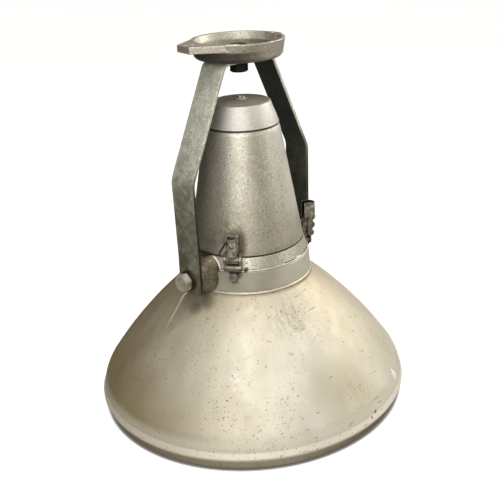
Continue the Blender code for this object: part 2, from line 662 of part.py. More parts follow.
def make_mounting_plate(stuff):
    fillet = 9.0
    foot = PLATE_RADIUS - 3.5
    outline = [(PIVOT_BOLT_RADIUS + GAP, PLATE_BOTTOM)]
    outline += arc((foot - fillet, PLATE_BOTTOM + fillet), fillet, -90, 0, 3)
    outline += [(PLATE_RADIUS, PLATE_TOP), (PLATE_RADIUS - PLATE_WALL, PLATE_TOP)]
    inner = foot - PLATE_WALL
    outline += [(inner, PLATE_BOTTOM + PLATE_WALL + 6), (inner - 6, PLATE_BOTTOM + PLATE_WALL),
                (PIVOT_BOLT_RADIUS + GAP, PLATE_BOTTOM + PLATE_WALL)]
    plate = turned("mounting_plate", outline, stuff["cast"], 32)
    weld(plate, extruded("ear", ear_outline(), PLATE_TOP - EAR_THICKNESS, PLATE_TOP - EAR_STEP, None))
    weld(plate, *make_lug())
    ends = arc((EAR_SLOT_HALF_LENGTH - EAR_SLOT_CENTRE, 0), EAR_SLOT_RADIUS, -90, 90, 4)
    ends += arc((-EAR_SLOT_HALF_LENGTH - EAR_SLOT_CENTRE, 0), EAR_SLOT_RADIUS, 90, 270, 4)
    cut(plate, extruded("ear_slot", ends, PLATE_TOP - EAR_THICKNESS - 3, PLATE_TOP + 3, None))
    cut(plate, extruded("lug_hole", arc((LUG_HOLE_CENTRE, 0), LUG_HOLE_RADIUS, 0, 330, 11),
                        PLATE_BOTTOM - 3, PLATE_TOP + 3, None))
    near = math.radians(PAD_ANGLE - PLATE_TURN)
    place = Matrix.Rotation(near, 4, "Z") @ Matrix.Translation((PLATE_RADIUS - 3.4, 0, 0))
    half = (2.4, 9.0)
    pad = [(-half[0], -half[1]), (half[0], -half[1]), (half[0], half[1]), (-half[0], half[1])]
    weld(plate, extruded("rim_pad", pad, PLATE_TOP - 3, PLATE_TOP + PAD_HEIGHT, None, place))
    plate.rotation_euler[2] = math.radians(PLATE_TURN)
    for tool in (modifier.object for modifier in plate.modifiers):
        tool.rotation_euler[2] = math.radians(PLATE_TURN)


def make_plate_bolt(stuff):
    inside = PLATE_BOTTOM + PLATE_WALL + GAP
    under = YOKE_TOP - YOKE_THICKNESS - GAP
    bore = PIVOT_BOLT_RADIUS + GAP
    turned("plate_washer_upper", [(bore, inside), (WASHER_RADIUS, inside),
                                  (WASHER_RADIUS, inside + WASHER_THICKNESS),
                                  (bore, inside + WASHER_THICKNESS)], stuff["bright_steel"], 16)
    small = LOCK_WASHER_RADIUS + 1
    turned("plate_washer_lower", [(bore, under - WASHER_THICKNESS), (small, under - WASHER_THICKNESS),
                                  (small, under), (bore, under)], stuff["bright_steel"], 16)
    head = inside + WASHER_THICKNESS + GAP
    bolt = extruded("plate_bolt", hexagon(PIVOT_HEAD_ACROSS_FLATS), head, head + PIVOT_HEAD_THICKNESS,
                    stuff["dark_steel"])
    nut_top = under - WASHER_THICKNESS - GAP
    nut_bottom = nut_top - 13.0
    weld(bolt, rod("plate_shank", PIVOT_BOLT_RADIUS, (0, 0, nut_bottom - 0.8), (0, 0, head + 2), None))
    nut = extruded("plate_nut", hexagon(PIVOT_HEAD_ACROSS_FLATS), nut_bottom, nut_top, stuff["dark_steel"])
    cut(nut, rod("nut_bore", PIVOT_BOLT_RADIUS + GAP, (0, 0, nut_bottom - 5), (0, 0, nut_top + 5), None))


# ---------------------------------------------------------------- latches

def place_latch(obj, pivot, angle):
    """Move a piece modelled round its own pivot to that pivot on the lamp."""
    turn = math.radians(angle)
    for item in [obj] + [modifier.object for modifier in obj.modifiers]:
        item.location = Vector((pivot[0] * math.cos(turn), pivot[0] * math.sin(turn), pivot[1])) * MM
        item.rotation_euler[2] = turn


def side_profile(name, outline, low_y, high_y, pivot, stuff):
    """Extrude an outline of (x, z) points along y, measured from a pivot."""
    upright = Matrix.Rotation(math.pi / 2, 4, "X")
    shifted = [(x - pivot[0], z - pivot[1]) for x, z in outline]
    return extruded(name, shifted, -high_y, -low_y, stuff, upright)


def cross_bar(name, centre, radius, low_y, high_y, pivot, stuff, facets=COARSE):
    x, z = centre[0] - pivot[0], centre[1] - pivot[1]
    return rod(name, radius, (x, low_y, z), (x, high_y, z), stuff, facets)


def make_latch_base(number, angle, stuff):
    """A riveted back plate on the suspension ring with two round cheeks for the lever's pin."""
    low, high = RING_BOTTOM + 3, RING_TOP - 0.5
    step = 0.6
    plate = [(ring_radius(low) + step, low), (ring_radius(low) + step + 2.5, low),
             (ring_radius(high) + step + 4.5, high), (ring_radius(high) + step, high)]
    base = side_profile("latch_base_%d" % number, plate, -8.8, 8.8, LEVER_PIVOT, stuff["zinc"])
    x, z = LEVER_PIVOT
    cheek = arc(LEVER_PIVOT, KNUCKLE_RADIUS, -110, 110, 8)
    cheek += [(x - 12, z + 3), (x - 12.4, z - 6), (x - 13.4, z - 11), (x - 9.5, z - 13)]
    for side, low_y, high_y in (("a", 6.3, 8.5), ("b", -8.5, -6.3)):
        weld(base, side_profile("cheek_%d%s" % (number, side), cheek, low_y, high_y, LEVER_PIVOT, None))
    cut(base, cross_bar("base_bore_%d" % number, LEVER_PIVOT, 2.0 + GAP, -12, 12, LEVER_PIVOT, None, 12))
    place_latch(base, LEVER_PIVOT, angle)
    pin = cross_bar("latch_pin_%d" % number, LEVER_PIVOT, 2.0, -9.0, 9.0, LEVER_PIVOT,
                    stuff["bright_steel"], 12)
    place_latch(pin, LEVER_PIVOT, angle)


def make_latch_lever(number, angle, stuff):
    """A half-round channel, open at its top end, with a knuckle on the pin."""
    x, z = LEVER_PIVOT
    half = LEVER_HALF_WIDTH
    inside = half - LEVER_WALL
    back = 94.0 - x
    outer = arc((LEVER_BULGE, 0), half, -90, 90, 6)
    inner = arc((LEVER_BULGE, 0), inside, 90, -90, 6)
    section = [(back, -half)] + outer + [(back, half), (back, inside)] + inner + [(back, -inside)]
    low = KNUCKLE_RADIUS + GAP + 0.2
    lever = extruded("latch_lever_%d" % number, section, low, LEVER_TOP - z, stuff["zinc"])
    reach = x + LEVER_BULGE + inside
    web_shape = [(x - 5.5, z - 2), (x + 3.6, z - 2), (x + 5.6, z + 4), (reach, z + 8.5),
                 (reach, z + 13), (x - 5.5, z + 13)]
    web = side_profile("web_%d" % number, web_shape, -6.0, 6.0, LEVER_PIVOT, None)
    knuckle = cross_bar("knuckle_%d" % number, LEVER_PIVOT, KNUCKLE_RADIUS, -6.0, 6.0, LEVER_PIVOT, None)
    gusset = side_profile("gusset_%d" % number, [(x + 2, z + 8.5), (x + 7, z + 8.5), (x + 7, z + 13),
                                                 (x + 2, z + 13)], -6.6, 6.6, LEVER_PIVOT, None)
    bore = cross_bar("lever_bore_%d" % number, LEVER_PIVOT, 2.0 + GAP, -12, 12, LEVER_PIVOT, None, 12)
    bail_holes = cross_bar("bail_holes_%d" % number, BAIL_PIVOT, 1.6 + GAP, -12, 12, LEVER_PIVOT, None, 12)
    weld(lever, web, knuckle, gusset)
    cut(lever, bore, bail_holes)
    place_latch(lever, LEVER_PIVOT, angle)


def make_latch_bail(number, angle, stuff):
    """Two arms from the lever to a cross barrel that carries the hook under the keeper."""
    pivot = BAIL_PIVOT
    x, z = BAIL_BARREL
    bail = cross_bar("latch_bail_%d" % number, BAIL_BARREL, BAIL_BARREL_RADIUS, -BAIL_HALF_WIDTH,
                     BAIL_HALF_WIDTH, pivot, stuff["zinc"])
    arm = arc(pivot, 2.8, 40, 180, 5) + [(x - 4.6, z), (x + 2.5, z), (x + 2.5, z + 6.5)]
    arm += arc(LEVER_PIVOT, BAIL_DISC_RADIUS, -70, 60, 7)
    for side, low_y, high_y in (("a", BAIL_ARM_INSIDE, BAIL_HALF_WIDTH - 0.2),
                                ("b", 0.2 - BAIL_HALF_WIDTH, -BAIL_ARM_INSIDE)):
        weld(bail, side_profile("arm_%d%s" % (number, side), arm, low_y, high_y, pivot, None))
    for side, low_y, high_y in (("a", 6.4, BAIL_ARM_INSIDE + 1), ("b", -BAIL_ARM_INSIDE - 1, -6.4)):
        weld(bail, cross_bar("stub_%d%s" % (number, side), pivot, 1.6, low_y, high_y, pivot, None, 12))
    out = KEEPER_REACH + 0.5
    lip_top = KEEPER_TOP - KEEPER_NOSE - 0.4
    hook = [(out, z - 3), (out, lip_top), (out - 4.6, lip_top), (out - 4.6, lip_top - 2.2),
            (out + 0.8, lip_top - 3.4), (out + 2.8, lip_top - 1.8), (out + 2.4, lip_top + 1.5),
            (out + 2.2, z - 3)]
    weld(bail, side_profile("hook_%d" % number, hook, -5.0, 5.0, pivot, None))
    place_latch(bail, pivot, angle)


def make_latch_keeper(number, angle, stuff):
    """A nose on the reflector's collar that the bail's hook pulls up against."""
    low = KEEPER_TOP - 15
    inside = collar_radius(low) + 0.4
    nose_bottom = KEEPER_TOP - KEEPER_NOSE
    outline = [(inside, low), (inside + 1.6, low), (inside + 1.6, nose_bottom), (KEEPER_REACH, nose_bottom),
               (KEEPER_REACH, KEEPER_TOP - 1.2), (KEEPER_REACH - 1.5, KEEPER_TOP), (inside, KEEPER_TOP)]
    keeper = side_profile("latch_keeper_%d" % number, outline, -4.5, 4.5, LEVER_PIVOT, stuff["zinc"])
    place_latch(keeper, LEVER_PIVOT, angle)


def make_latch_wire(stuff):
    """A short springy wire that lies on the housing beside the first latch."""
    path = ((-9.8, 268.0), (-14.5, 262.0), (-19.0, 255.5), (-22.5, 249.5), (-24.0, 245.5))
    points = []
    for sideways_by, z in path:
        share = (z - RING_TOP) / (HOUSING_TOP - RING_TOP)
        clear = HOUSING_BOTTOM_RADIUS + share * (HOUSING_TOP_RADIUS - HOUSING_BOTTOM_RADIUS) + 1.6
        points.append((math.sqrt(clear ** 2 - sideways_by ** 2), sideways_by, z))
    loop = wire("latch_wire", points, 0.8, stuff["dark_steel"])
    loop.rotation_euler[2] = math.radians(LATCH_ANGLES[0])


def make_latches(stuff):
    make_latch_wire(stuff)
    for number, angle in enumerate(LATCH_ANGLES, 1):
        make_latch_base(number, angle, stuff)
        make_latch_lever(number, angle, stuff)
        make_latch_bail(number, angle, stuff)
        make_latch_keeper(number, angle, stuff)


def main():
    clear_scene()
    stuff = make_materials()
    make_reflector(stuff)
    make_glass(stuff)
    make_collar(stuff)
    make_suspension_ring(stuff)
    make_housing(stuff)
    make_cap(stuff)
    make_neck(stuff)
    make_funnel(stuff)
    make_lampholder(stuff)
    make_bracket_and_wiring(stuff)
    make_yoke(stuff)
    make_pivots(stuff)
    make_mounting_plate(stuff)
    make_plate_bolt(stuff)
    make_latches(stuff)


main()
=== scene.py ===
"""Weathered high-bay pendant lamp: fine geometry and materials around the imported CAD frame.

Lengths in the constants are millimetres in the frame of the part; builders turn them into metres.
"""

import json
import math

import bmesh
import bpy
from mathutils import Matrix, Vector, noise


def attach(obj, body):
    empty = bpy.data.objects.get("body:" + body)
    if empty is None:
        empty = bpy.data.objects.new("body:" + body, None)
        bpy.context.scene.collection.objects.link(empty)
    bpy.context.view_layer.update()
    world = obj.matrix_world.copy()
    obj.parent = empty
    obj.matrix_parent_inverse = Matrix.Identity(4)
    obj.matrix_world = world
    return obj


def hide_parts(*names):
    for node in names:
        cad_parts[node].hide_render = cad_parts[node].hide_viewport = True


MM = 0.001
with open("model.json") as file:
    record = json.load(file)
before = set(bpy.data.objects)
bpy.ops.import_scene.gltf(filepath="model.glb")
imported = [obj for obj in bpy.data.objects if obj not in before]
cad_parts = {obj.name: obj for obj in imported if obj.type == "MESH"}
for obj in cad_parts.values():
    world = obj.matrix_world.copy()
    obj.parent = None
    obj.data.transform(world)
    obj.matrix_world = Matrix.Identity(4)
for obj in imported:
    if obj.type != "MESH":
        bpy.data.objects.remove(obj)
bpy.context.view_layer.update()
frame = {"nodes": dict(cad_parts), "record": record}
NODES = frame["nodes"]


BODY_OF = {}
for body, members in frame["record"]["behaviour"]["bodies"].items():
    BODY_OF.update((node, body) for node in members)


HEADING = math.radians(-44.35)
RIGHT = Vector((math.cos(HEADING), math.sin(HEADING), 0))
AHEAD = Vector((-math.sin(HEADING), math.cos(HEADING), 0))
LEFT_BACK = tuple((AHEAD * 0.25 - RIGHT).normalized())


# ---------------------------------------------------------------- node-tree helper

class Tree:
    """A material's node tree with short calls for the nodes that the materials share."""

    def __init__(self, name):
        self.material = bpy.data.materials.new(name)
        self.material.use_nodes = True
        self.tree = self.material.node_tree
        self.tree.nodes.clear()
        self.shader = self.node("ShaderNodeBsdfPrincipled")
        output = self.node("ShaderNodeOutputMaterial")
        self.tree.links.new(self.shader.outputs[0], output.inputs[0])
        self.place = self.node("ShaderNodeTexCoord").outputs["Object"]

    def node(self, kind, **settings):
        made = self.tree.nodes.new(kind)
        for key, value in settings.items():
            setattr(made, key, value)
        return made

    def feed(self, socket, value):
        if isinstance(value, bpy.types.NodeSocket):
            self.tree.links.new(value, socket)
        elif socket.type == "RGBA":
            grey = (value, value, value) if isinstance(value, (int, float)) else value
            socket.default_value = (*grey, 1.0)
        else:
            socket.default_value = value

    def math(self, operation, a, b=0.0, c=0.0, clamp=False):
        made = self.node("ShaderNodeMath", operation=operation, use_clamp=clamp)
        for socket, value in zip(made.inputs, (a, b, c)):
            self.feed(socket, value)
        return made.outputs[0]

    def vector(self, operation, a, b=(0, 0, 0)):
        made = self.node("ShaderNodeVectorMath", operation=operation)
        self.feed(made.inputs[0], a)
        self.feed(made.inputs[1], b)
        return made.outputs["Value"] if operation in ("LENGTH", "DISTANCE", "DOT_PRODUCT") else made.outputs[0]

    def split(self, vector=None):
        made = self.node("ShaderNodeSeparateXYZ")
        self.feed(made.inputs[0], vector or self.place)
        return made.outputs[0], made.outputs[1], made.outputs[2]

    def join(self, x, y, z):
        made = self.node("ShaderNodeCombineXYZ")
        for socket, value in zip(made.inputs, (x, y, z)):
            self.feed(socket, value)
        return made.outputs[0]

    def stretched(self, scale, shift=(0, 0, 0)):
        """The object's coordinates, scaled along each axis."""
        made = self.node("ShaderNodeMapping")
        self.feed(made.inputs["Vector"], self.place)
        made.inputs["Scale"].default_value = scale
        made.inputs["Location"].default_value = shift
        return made.outputs[0]

    def round_place(self, turns, height, radius=0.0, shift=0.0):
        """Coordinates that run round the lamp's axis: turns x angle, radius x r, height x z."""
        x, y, z = self.split()
        angle = self.math("ARCTAN2", y, x)
        # the angle is wrapped onto a circle, so that there is no seam
        around_x = self.math("MULTIPLY", self.math("COSINE", angle), turns)
        around_y = self.math("MULTIPLY", self.math("SINE", angle), turns)
        if radius:
            away = self.vector("LENGTH", self.join(x, y, 0.0))
            z = self.math("ADD", self.math("MULTIPLY", z, height), self.math("MULTIPLY", away, radius))
        else:
            z = self.math("MULTIPLY", z, height)
        return self.join(around_x, around_y, self.math("ADD", z, shift))

    def noise(self, scale, detail=4.0, rough=0.55, place=None, distort=0.0, dimension="3D", lacunarity=2.0):
        made = self.node("ShaderNodeTexNoise", noise_dimensions=dimension)
        self.feed(made.inputs["Vector"], place or self.place)
        made.inputs["Scale"].default_value = scale
        made.inputs["Detail"].default_value = detail
        made.inputs["Roughness"].default_value = rough
        made.inputs["Distortion"].default_value = distort
        made.inputs["Lacunarity"].default_value = lacunarity
        return made.outputs[0]

    def cells(self, scale, place=None, feature="F1", output="Distance", random=1.0):
        made = self.node("ShaderNodeTexVoronoi", feature=feature)
        self.feed(made.inputs["Vector"], place or self.place)
        made.inputs["Scale"].default_value = scale
        made.inputs["Randomness"].default_value = random
        return made.outputs[output]

    def ramp(self, value, *stops, mode="LINEAR"):
        """A ramp through stops of (position, grey or colour); the result is a colour socket."""
        made = self.node("ShaderNodeValToRGB")
        made.color_ramp.interpolation = mode
        points = made.color_ramp.elements
        while len(points) < len(stops):
            points.new(0.5)
        for point, (position, colour) in zip(points, stops):
            point.position = position
            point.color = (colour, colour, colour, 1) if isinstance(colour, (int, float)) else (*colour, 1)
        self.feed(made.inputs[0], value)
        return made.outputs[0]

    def range(self, value, low, high, new_low=0.0, new_high=1.0, smooth=False):
        made = self.node("ShaderNodeMapRange", interpolation_type="SMOOTHSTEP" if smooth else "LINEAR")
        for socket, item in zip(made.inputs, (value, low, high, new_low, new_high)):
            self.feed(socket, item)
        return made.outputs[0]

    def mix(self, share, a, b, blend="MIX"):
        made = self.node("ShaderNodeMix", data_type="RGBA", blend_type=blend)
        self.feed(made.inputs["Factor"], share)
        self.feed(made.inputs[6], a)
        self.feed(made.inputs[7], b)
        return made.outputs[2]

    def facing(self, direction, low=-1.0, high=1.0):
        """How far the surface, before bump, faces a direction, from 0 to 1."""
        normal = self.node("ShaderNodeNewGeometry").outputs["True Normal"]
        made = self.node("ShaderNodeVectorTransform", vector_type="NORMAL", convert_from="WORLD",
                         convert_to="OBJECT")
        self.feed(made.inputs[0], normal)
        return self.range(self.vector("DOT_PRODUCT", made.outputs[0], direction), low, high)

    def crevice(self, distance, inside=False, samples=6):
        """Ambient occlusion, from 1 in the open to 0 in a crack."""
        made = self.node("ShaderNodeAmbientOcclusion", samples=samples, inside=inside)
        made.inputs["Distance"].default_value = distance
        return made.outputs["AO"]

    def edge_wear(self, radius):
        """Bright on convex edges: the difference between the bevelled and the true normal."""
        bevel = self.node("ShaderNodeBevel", samples=4)
        bevel.inputs["Radius"].default_value = radius
        normal = self.node("ShaderNodeNewGeometry").outputs["Normal"]
        return self.math("SUBTRACT", 1.0, self.vector("DOT_PRODUCT", bevel.outputs[0], normal))

    def bump(self, height, strength, distance, before=None):
        made = self.node("ShaderNodeBump")
        made.inputs["Strength"].default_value = strength
        made.inputs["Distance"].default_value = distance
        self.feed(made.inputs["Height"], height)
        if before is not None:
            self.feed(made.inputs["Normal"], before)
        return made.outputs[0]

    def finish(self, colour, roughness, metallic=0.0, normal=None, **others):
        self.feed(self.shader.inputs["Base Color"], colour)
        self.feed(self.shader.inputs["Roughness"], roughness)
        self.feed(self.shader.inputs["Metallic"], metallic)
        if normal is not None:
            self.feed(self.shader.inputs["Normal"], normal)
        for key, value in others.items():
            self.feed(self.shader.inputs[key.replace("_", " ")], value)
        return self.material


# ---------------------------------------------------------------- mesh helpers

def to_object(name, bm, place=Matrix.Identity(4), sharp=35.0):
    """A bmesh in millimetres, placed and turned into a smooth-shaded object in metres."""
    bmesh.ops.transform(bm, matrix=Matrix.Scale(MM, 4) @ place, verts=bm.verts)
    bmesh.ops.recalc_face_normals(bm, faces=bm.faces)
    mesh = bpy.data.meshes.new(name)
    bm.to_mesh(mesh)
    bm.free()
    mesh.shade_smooth()
    mesh.set_sharp_from_angle(angle=math.radians(sharp))
    obj = bpy.data.objects.new(name, mesh)
    bpy.context.scene.collection.objects.link(obj)
    return obj


def arc(centre, radius, start, end, steps):
    turns = [math.radians(start + (end - start) * k / steps) for k in range(steps + 1)]
    return [(centre[0] + radius * math.cos(t), centre[1] + radius * math.sin(t)) for t in turns]


def rounded(points, closed=True, steps=4):
    """An outline of (x, y) or (x, y, corner radius) points with its corners rounded."""
    result = []
    last = len(points) - 1
    for k, point in enumerate(points):
        here = Vector(point[:2])
        radius = point[2] if len(point) > 2 else 0.0
        if not radius or (not closed and k in (0, last)):
            result.append((here.x, here.y))
            continue
        back = Vector(points[k - 1][:2]) - here
        ahead = Vector(points[(k + 1) % (last + 1)][:2]) - here
        half = back.angle(ahead) / 2
        reach = min(radius / math.tan(half), back.length * 0.49, ahead.length * 0.49)
        radius = reach * math.tan(half)
        centre = here + (back.normalized() + ahead.normalized()).normalized() * radius / math.sin(half)
        start = here + back.normalized() * reach - centre
        end = here + ahead.normalized() * reach - centre
        swing = start.angle(end)
        for step in range(steps + 1):
            t = step / steps
            spoke = (start * math.sin((1 - t) * swing) + end * math.sin(t * swing)) / math.sin(swing)
            result.append((centre.x + spoke.x, centre.y + spoke.y))
    return result


def lathe(name, outline, steps=160, shape=None, place=Matrix.Identity(4), second=None, sharp=35.0):
    """Spin an outline of (r, z) points round Z. shape moves points; second(k) picks material 2."""
    bm = bmesh.new()
    rings = []
    for index, (r, z) in enumerate(outline):
        if r < 1e-6:
            rings.append([bm.verts.new((0, 0, z))] * steps)
            continue
        ring = []
        for k in range(steps):
            angle = 2 * math.pi * k / steps
            away, height = shape(r, z, angle, index) if shape else (r, z)
            ring.append(bm.verts.new((away * math.cos(angle), away * math.sin(angle), height)))
        rings.append(ring)
    pairs = list(zip(rings, rings[1:]))
    if outline[0][0] > 1e-6:
        pairs.append((rings[-1], rings[0]))
    for index, (low, high) in enumerate(pairs):
        for k in range(steps):
            after = (k + 1) % steps
            corners = []
            for vert in (low[k], low[after], high[after], high[k]):
                if vert not in corners:
                    corners.append(vert)
            face = bm.faces.new(corners)
            if second and second(index):
                face.material_index = 1
    return to_object(name, bm, place, sharp)


def prism(name, outline, low, high, place=Matrix.Identity(4)):
    """A closed (x, y) outline raised from low to high."""
    bm = bmesh.new()
    bottom = [bm.verts.new((x, y, low)) for x, y in outline]
    top = [bm.verts.new((x, y, high)) for x, y in outline]
    bm.faces.new(bottom)
    bm.faces.new(top)
    for k in range(len(outline)):
        after = (k + 1) % len(outline)
        bm.faces.new((bottom[k], bottom[after], top[after], top[k]))
    return to_object(name, bm, place)


def block(name, low, high, place=Matrix.Identity(4)):
    corners = [(low[0], low[1]), (high[0], low[1]), (high[0], high[1]), (low[0], high[1])]
    return prism(name, corners, low[2], high[2], place)


def bar(name, radius, start, end, steps=48, place=Matrix.Identity(4), round_end=0.0):
    """A round bar between two points, with its ends' edges rounded."""
    along = Vector(end) - Vector(start)
    length = along.length
    turn = along.to_track_quat("Z", "Y").to_matrix().to_4x4()
    outline = [(0, 0), (radius, 0, round_end), (radius, length, round_end), (0, length)]
    return lathe(name, rounded(outline, closed=False, steps=3), steps,
                 place=place @ Matrix.Translation(start) @ turn)


def settle(obj):
    """Replace the object's mesh by what its modifiers make of it."""
    bpy.context.view_layer.update()
    graph = bpy.context.evaluated_depsgraph_get()
    mesh = bpy.data.meshes.new_from_object(obj.evaluated_get(graph))
    obj.modifiers.clear()
    obj.data = mesh
    return obj


def combine(target, tools, operation):
    for tool in tools:
        change = target.modifiers.new("combine", "BOOLEAN")
        change.operation = operation
        change.solver = "EXACT"
        change.object = tool
        settle(target)
        bpy.data.objects.remove(tool)
    return target


def cut(target, *tools):
    return combine(target, tools, "DIFFERENCE")


def weld(target, *tools):
    return combine(target, tools, "UNION")


def soften(obj, width, segments=2, angle=40.0):
    """Round the edges that are sharper than an angle; width in millimetres."""
    change = obj.modifiers.new("soften", "BEVEL")
    change.width = width * MM
    change.segments = segments
    change.limit_method = "ANGLE"
    change.angle_limit = math.radians(angle)
    change.use_clamp_overlap = True
    settle(obj)
    obj.data.shade_smooth()
    obj.data.set_sharp_from_angle(angle=math.radians(50))
    return obj


def cast(obj, voxel, smooth):
    """Melt welded shapes into one cast skin, so that every inside corner gets a fillet."""
    change = obj.modifiers.new("skin", "REMESH")
    change.mode = "VOXEL"
    change.voxel_size = voxel * MM
    change.adaptivity = 0.0
    change = obj.modifiers.new("relax", "SMOOTH")
    change.factor = 0.5
    change.iterations = smooth
    settle(obj)
    obj.data.shade_smooth()
    return obj


def join(obj, *others):
    """Add other meshes to a piece; they become part of its mesh."""
    bm = bmesh.new()
    bm.from_mesh(obj.data)
    for other in others:
        bm.from_mesh(other.data)
        bpy.data.objects.remove(other)
    bm.to_mesh(obj.data)
    bm.free()
    return obj


def tube(name, points, radius, sides=12, place=Matrix.Identity(4)):
    """A round wire through points, with rounded tips."""
    points = [Vector(point) for point in points]
    directions = []
    for k in range(len(points)):
        directions.append((points[min(k + 1, len(points) - 1)] - points[max(k - 1, 0)]).normalized())
    bm = bmesh.new()
    rings = []
    side = directions[0].orthogonal().normalized()
    stations = [(points[0] - directions[0] * radius * 0.9, directions[0], 0.3),
                (points[0] - directions[0] * radius * 0.55, directions[0], 0.8)]
    stations += [(point, along, 1.0) for point, along in zip(points, directions)]
    stations += [(points[-1] + directions[-1] * radius * 0.55, directions[-1], 0.8),
                 (points[-1] + directions[-1] * radius * 0.9, directions[-1], 0.3)]
    for point, along, scale in stations:
        side = (side - along * side.dot(along)).normalized()
        other = along.cross(side)
        rings.append([bm.verts.new(point + (side * math.cos(t) + other * math.sin(t)) * radius * scale)
                      for t in (2 * math.pi * k / sides for k in range(sides))])
    for low, high in zip(rings, rings[1:]):
        for k in range(sides):
            after = (k + 1) % sides
            bm.faces.new((low[k], low[after], high[after], high[k]))
    bm.faces.new(rings[0])
    bm.faces.new(rings[-1])
    return to_object(name, bm, place)


def spline(points, steps=10):
    """Points on a smooth curve through the given points."""
    points = [Vector(point) for point in points]
    padded = [2 * points[0] - points[1]] + points + [2 * points[-1] - points[-2]]
    result = []
    for a, b, c, d in zip(padded, padded[1:], padded[2:], padded[3:]):
        for k in range(steps):
            t = k / steps
            result.append(0.5 * (2 * b + (c - a) * t + (2 * a - 5 * b + 4 * c - d) * t ** 2
                                 + (3 * b - a - 3 * c + d) * t ** 3))
    result.append(points[-1])
    return result


def stand_for(obj, node, *stuff):
    """Give a piece its materials and let it stand for a CAD node."""
    numbers = [0] * len(obj.data.polygons)
    obj.data.polygons.foreach_get("material_index", numbers)
    obj.data.materials.clear()
    for item in stuff:
        obj.data.materials.append(item)
    obj.data.polygons.foreach_set("material_index", [min(n, len(stuff) - 1) for n in numbers])
    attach(obj, BODY_OF[node])
    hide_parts(node)
    return obj


def paint(obj, number, test):
    """Give the faces that pass the test another of the piece's materials."""
    for face in obj.data.polygons:
        if test(face):
            face.material_index = number


# ---------------------------------------------------------------- reflector and glass

LIP = (235.0, 18.5)
CREASE = (232.2, 26.5)
PIVOT_HEIGHT = 212.2


def wobble(angle, z, scale, seed):
    """Smooth noise round the axis, from -1 to 1."""
    return noise.noise(Vector((math.cos(angle) * scale, math.sin(angle) * scale, z * 0.02 + seed)))


def bell_flank():
    """The bell's outside from the crease to the foot of the neck, finely stepped."""
    points = []
    start = CREASE
    for radius, low, high, steps in ((48.1, 8.0, 34.0, 14), (635.0, 34.0, 50.8, 26)):
        a = math.radians(low)
        for k in range(1, steps + 1):
            b = math.radians(low + (high - low) * k / steps)
            points.append((start[0] - radius * (math.cos(a) - math.cos(b)),
                           start[1] + radius * (math.sin(b) - math.sin(a))))
        start = points[-1]
    slope = math.radians(50.8)
    centre = (start[0] + 7 * math.cos(slope), start[1] + 7 * math.sin(slope))
    for k in range(1, 9):
        s = slope * (1 - k / 8)
        points.append((centre[0] - 7 * math.cos(s), centre[1] - 7 * math.sin(s)))
    return points


def build_reflector(stuff):
    flank = bell_flank()
    top = 189.4
    outside = rounded([(227.0, 1.5, 0.6), (234.3, 16.2, 1.5), (235.0, 18.6, 1.6), (232.6, 25.6, 3.5),
                       flank[0]], closed=False, steps=5)[:-1] + flank
    neck = flank[-1][0]
    inside = []
    for k in range(len(flank)):
        before, after = flank[max(k - 1, 0)], flank[min(k + 1, len(flank) - 1)]
        run, rise = after[0] - before[0], after[1] - before[1]
        length = math.hypot(run, rise)
        inside.append((flank[k][0] - 2 * rise / length, flank[k][1] + 2 * run / length))
    shelf = [(neck, top - 0.6), (neck - 0.6, top), (82.0, top), (82.0, top - 2), (neck - 2.6, top - 2),
             (neck - 2, top - 2.6)]
    foot = [(230.2, 25.4), (232.8, 18.6), (226.0, 2.1)]
    outline = outside + shelf + inside[::-1] + foot
    first_inside = len(outside) + 4
    last_inside = len(outline) - 2

    def dented(r, z, angle, index):
        if z > 175:
            return r, z
        share = min(1.0, (175 - z) / 60)
        slow = 0.5 + 0.5 * wobble(angle, z, 1.6, 3.0)
        quick = 0.5 + 0.5 * wobble(angle, z * 2.2, 5.0, 8.0)
        return r - share * (0.45 * slow + 0.22 * quick) + (0.3 if z < 17 else 0.0) * share, z

    obj = lathe("reflector_shell", outline, 288, dented, second=lambda k: first_inside <= k < last_inside)
    stand_for(obj, "reflector", stuff["enamel"], stuff["inner_mirror"])


def build_glass(stuff):
    outline = rounded([(0, 6.0), (216.0, 6.0, 1.2), (216.0, 11.0, 1.2), (0, 11.0)], closed=False)
    middle = [(r, 6.0) for r in (70, 140)]
    stand_for(lathe("lens_pane", [outline[0]] + middle + outline[1:], 192), "lens_glass", stuff["glass"])
    outline = rounded([(207.0, 0.4, 0.8), (210.0, 0.4), (213.0, 0.0), (217.0, 0.0), (220.0, 0.4),
                       (224.4, 0.3, 0.8), (230.4, 15.4, 0.6), (208.0, 15.4, 1.0), (207.2, 11.35, 0.2),
                       (216.25, 11.35), (216.25, 5.65), (207.2, 5.65, 0.2)], steps=3)

    def ribbed(r, z, angle, index):
        if z < 3 and r < 226:
            return r, z + 0.5 - 0.5 * math.cos(angle * 180)
        return r, z

    stand_for(lathe("lens_seal", outline, 1440, ribbed), "lens_gasket", stuff["gasket"])


# ---------------------------------------------------------------- collar, ring, housing, cap

def build_collar(stuff):
    outline = rounded([(76.0, 189.7, 0.3), (97.6, 189.7, 0.9), (97.7, 191.3, 0.9), (96.0, 192.3, 0.9),
                       (93.9, 221.2, 0.8), (92.6, 222.7, 0.8), (88.0, 222.7, 0.3), (88.0, 219.2),
                       (80.5, 219.2, 0.5), (80.5, 215.2), (87.3, 211.2), (87.3, 194.0, 2.0),
                       (76.0, 194.0, 0.4)])
    stand_for(lathe("collar_spun", outline, 192), "reflector_collar", stuff["grey_paint"])
    outline = rounded([(81.0, 219.5, 0.5), (87.6, 219.5, 0.5), (87.6, 222.6, 1.2), (81.0, 222.6, 1.2)])
    stand_for(lathe("collar_gasket", outline, 128), "collar_seal", stuff["rubber"])


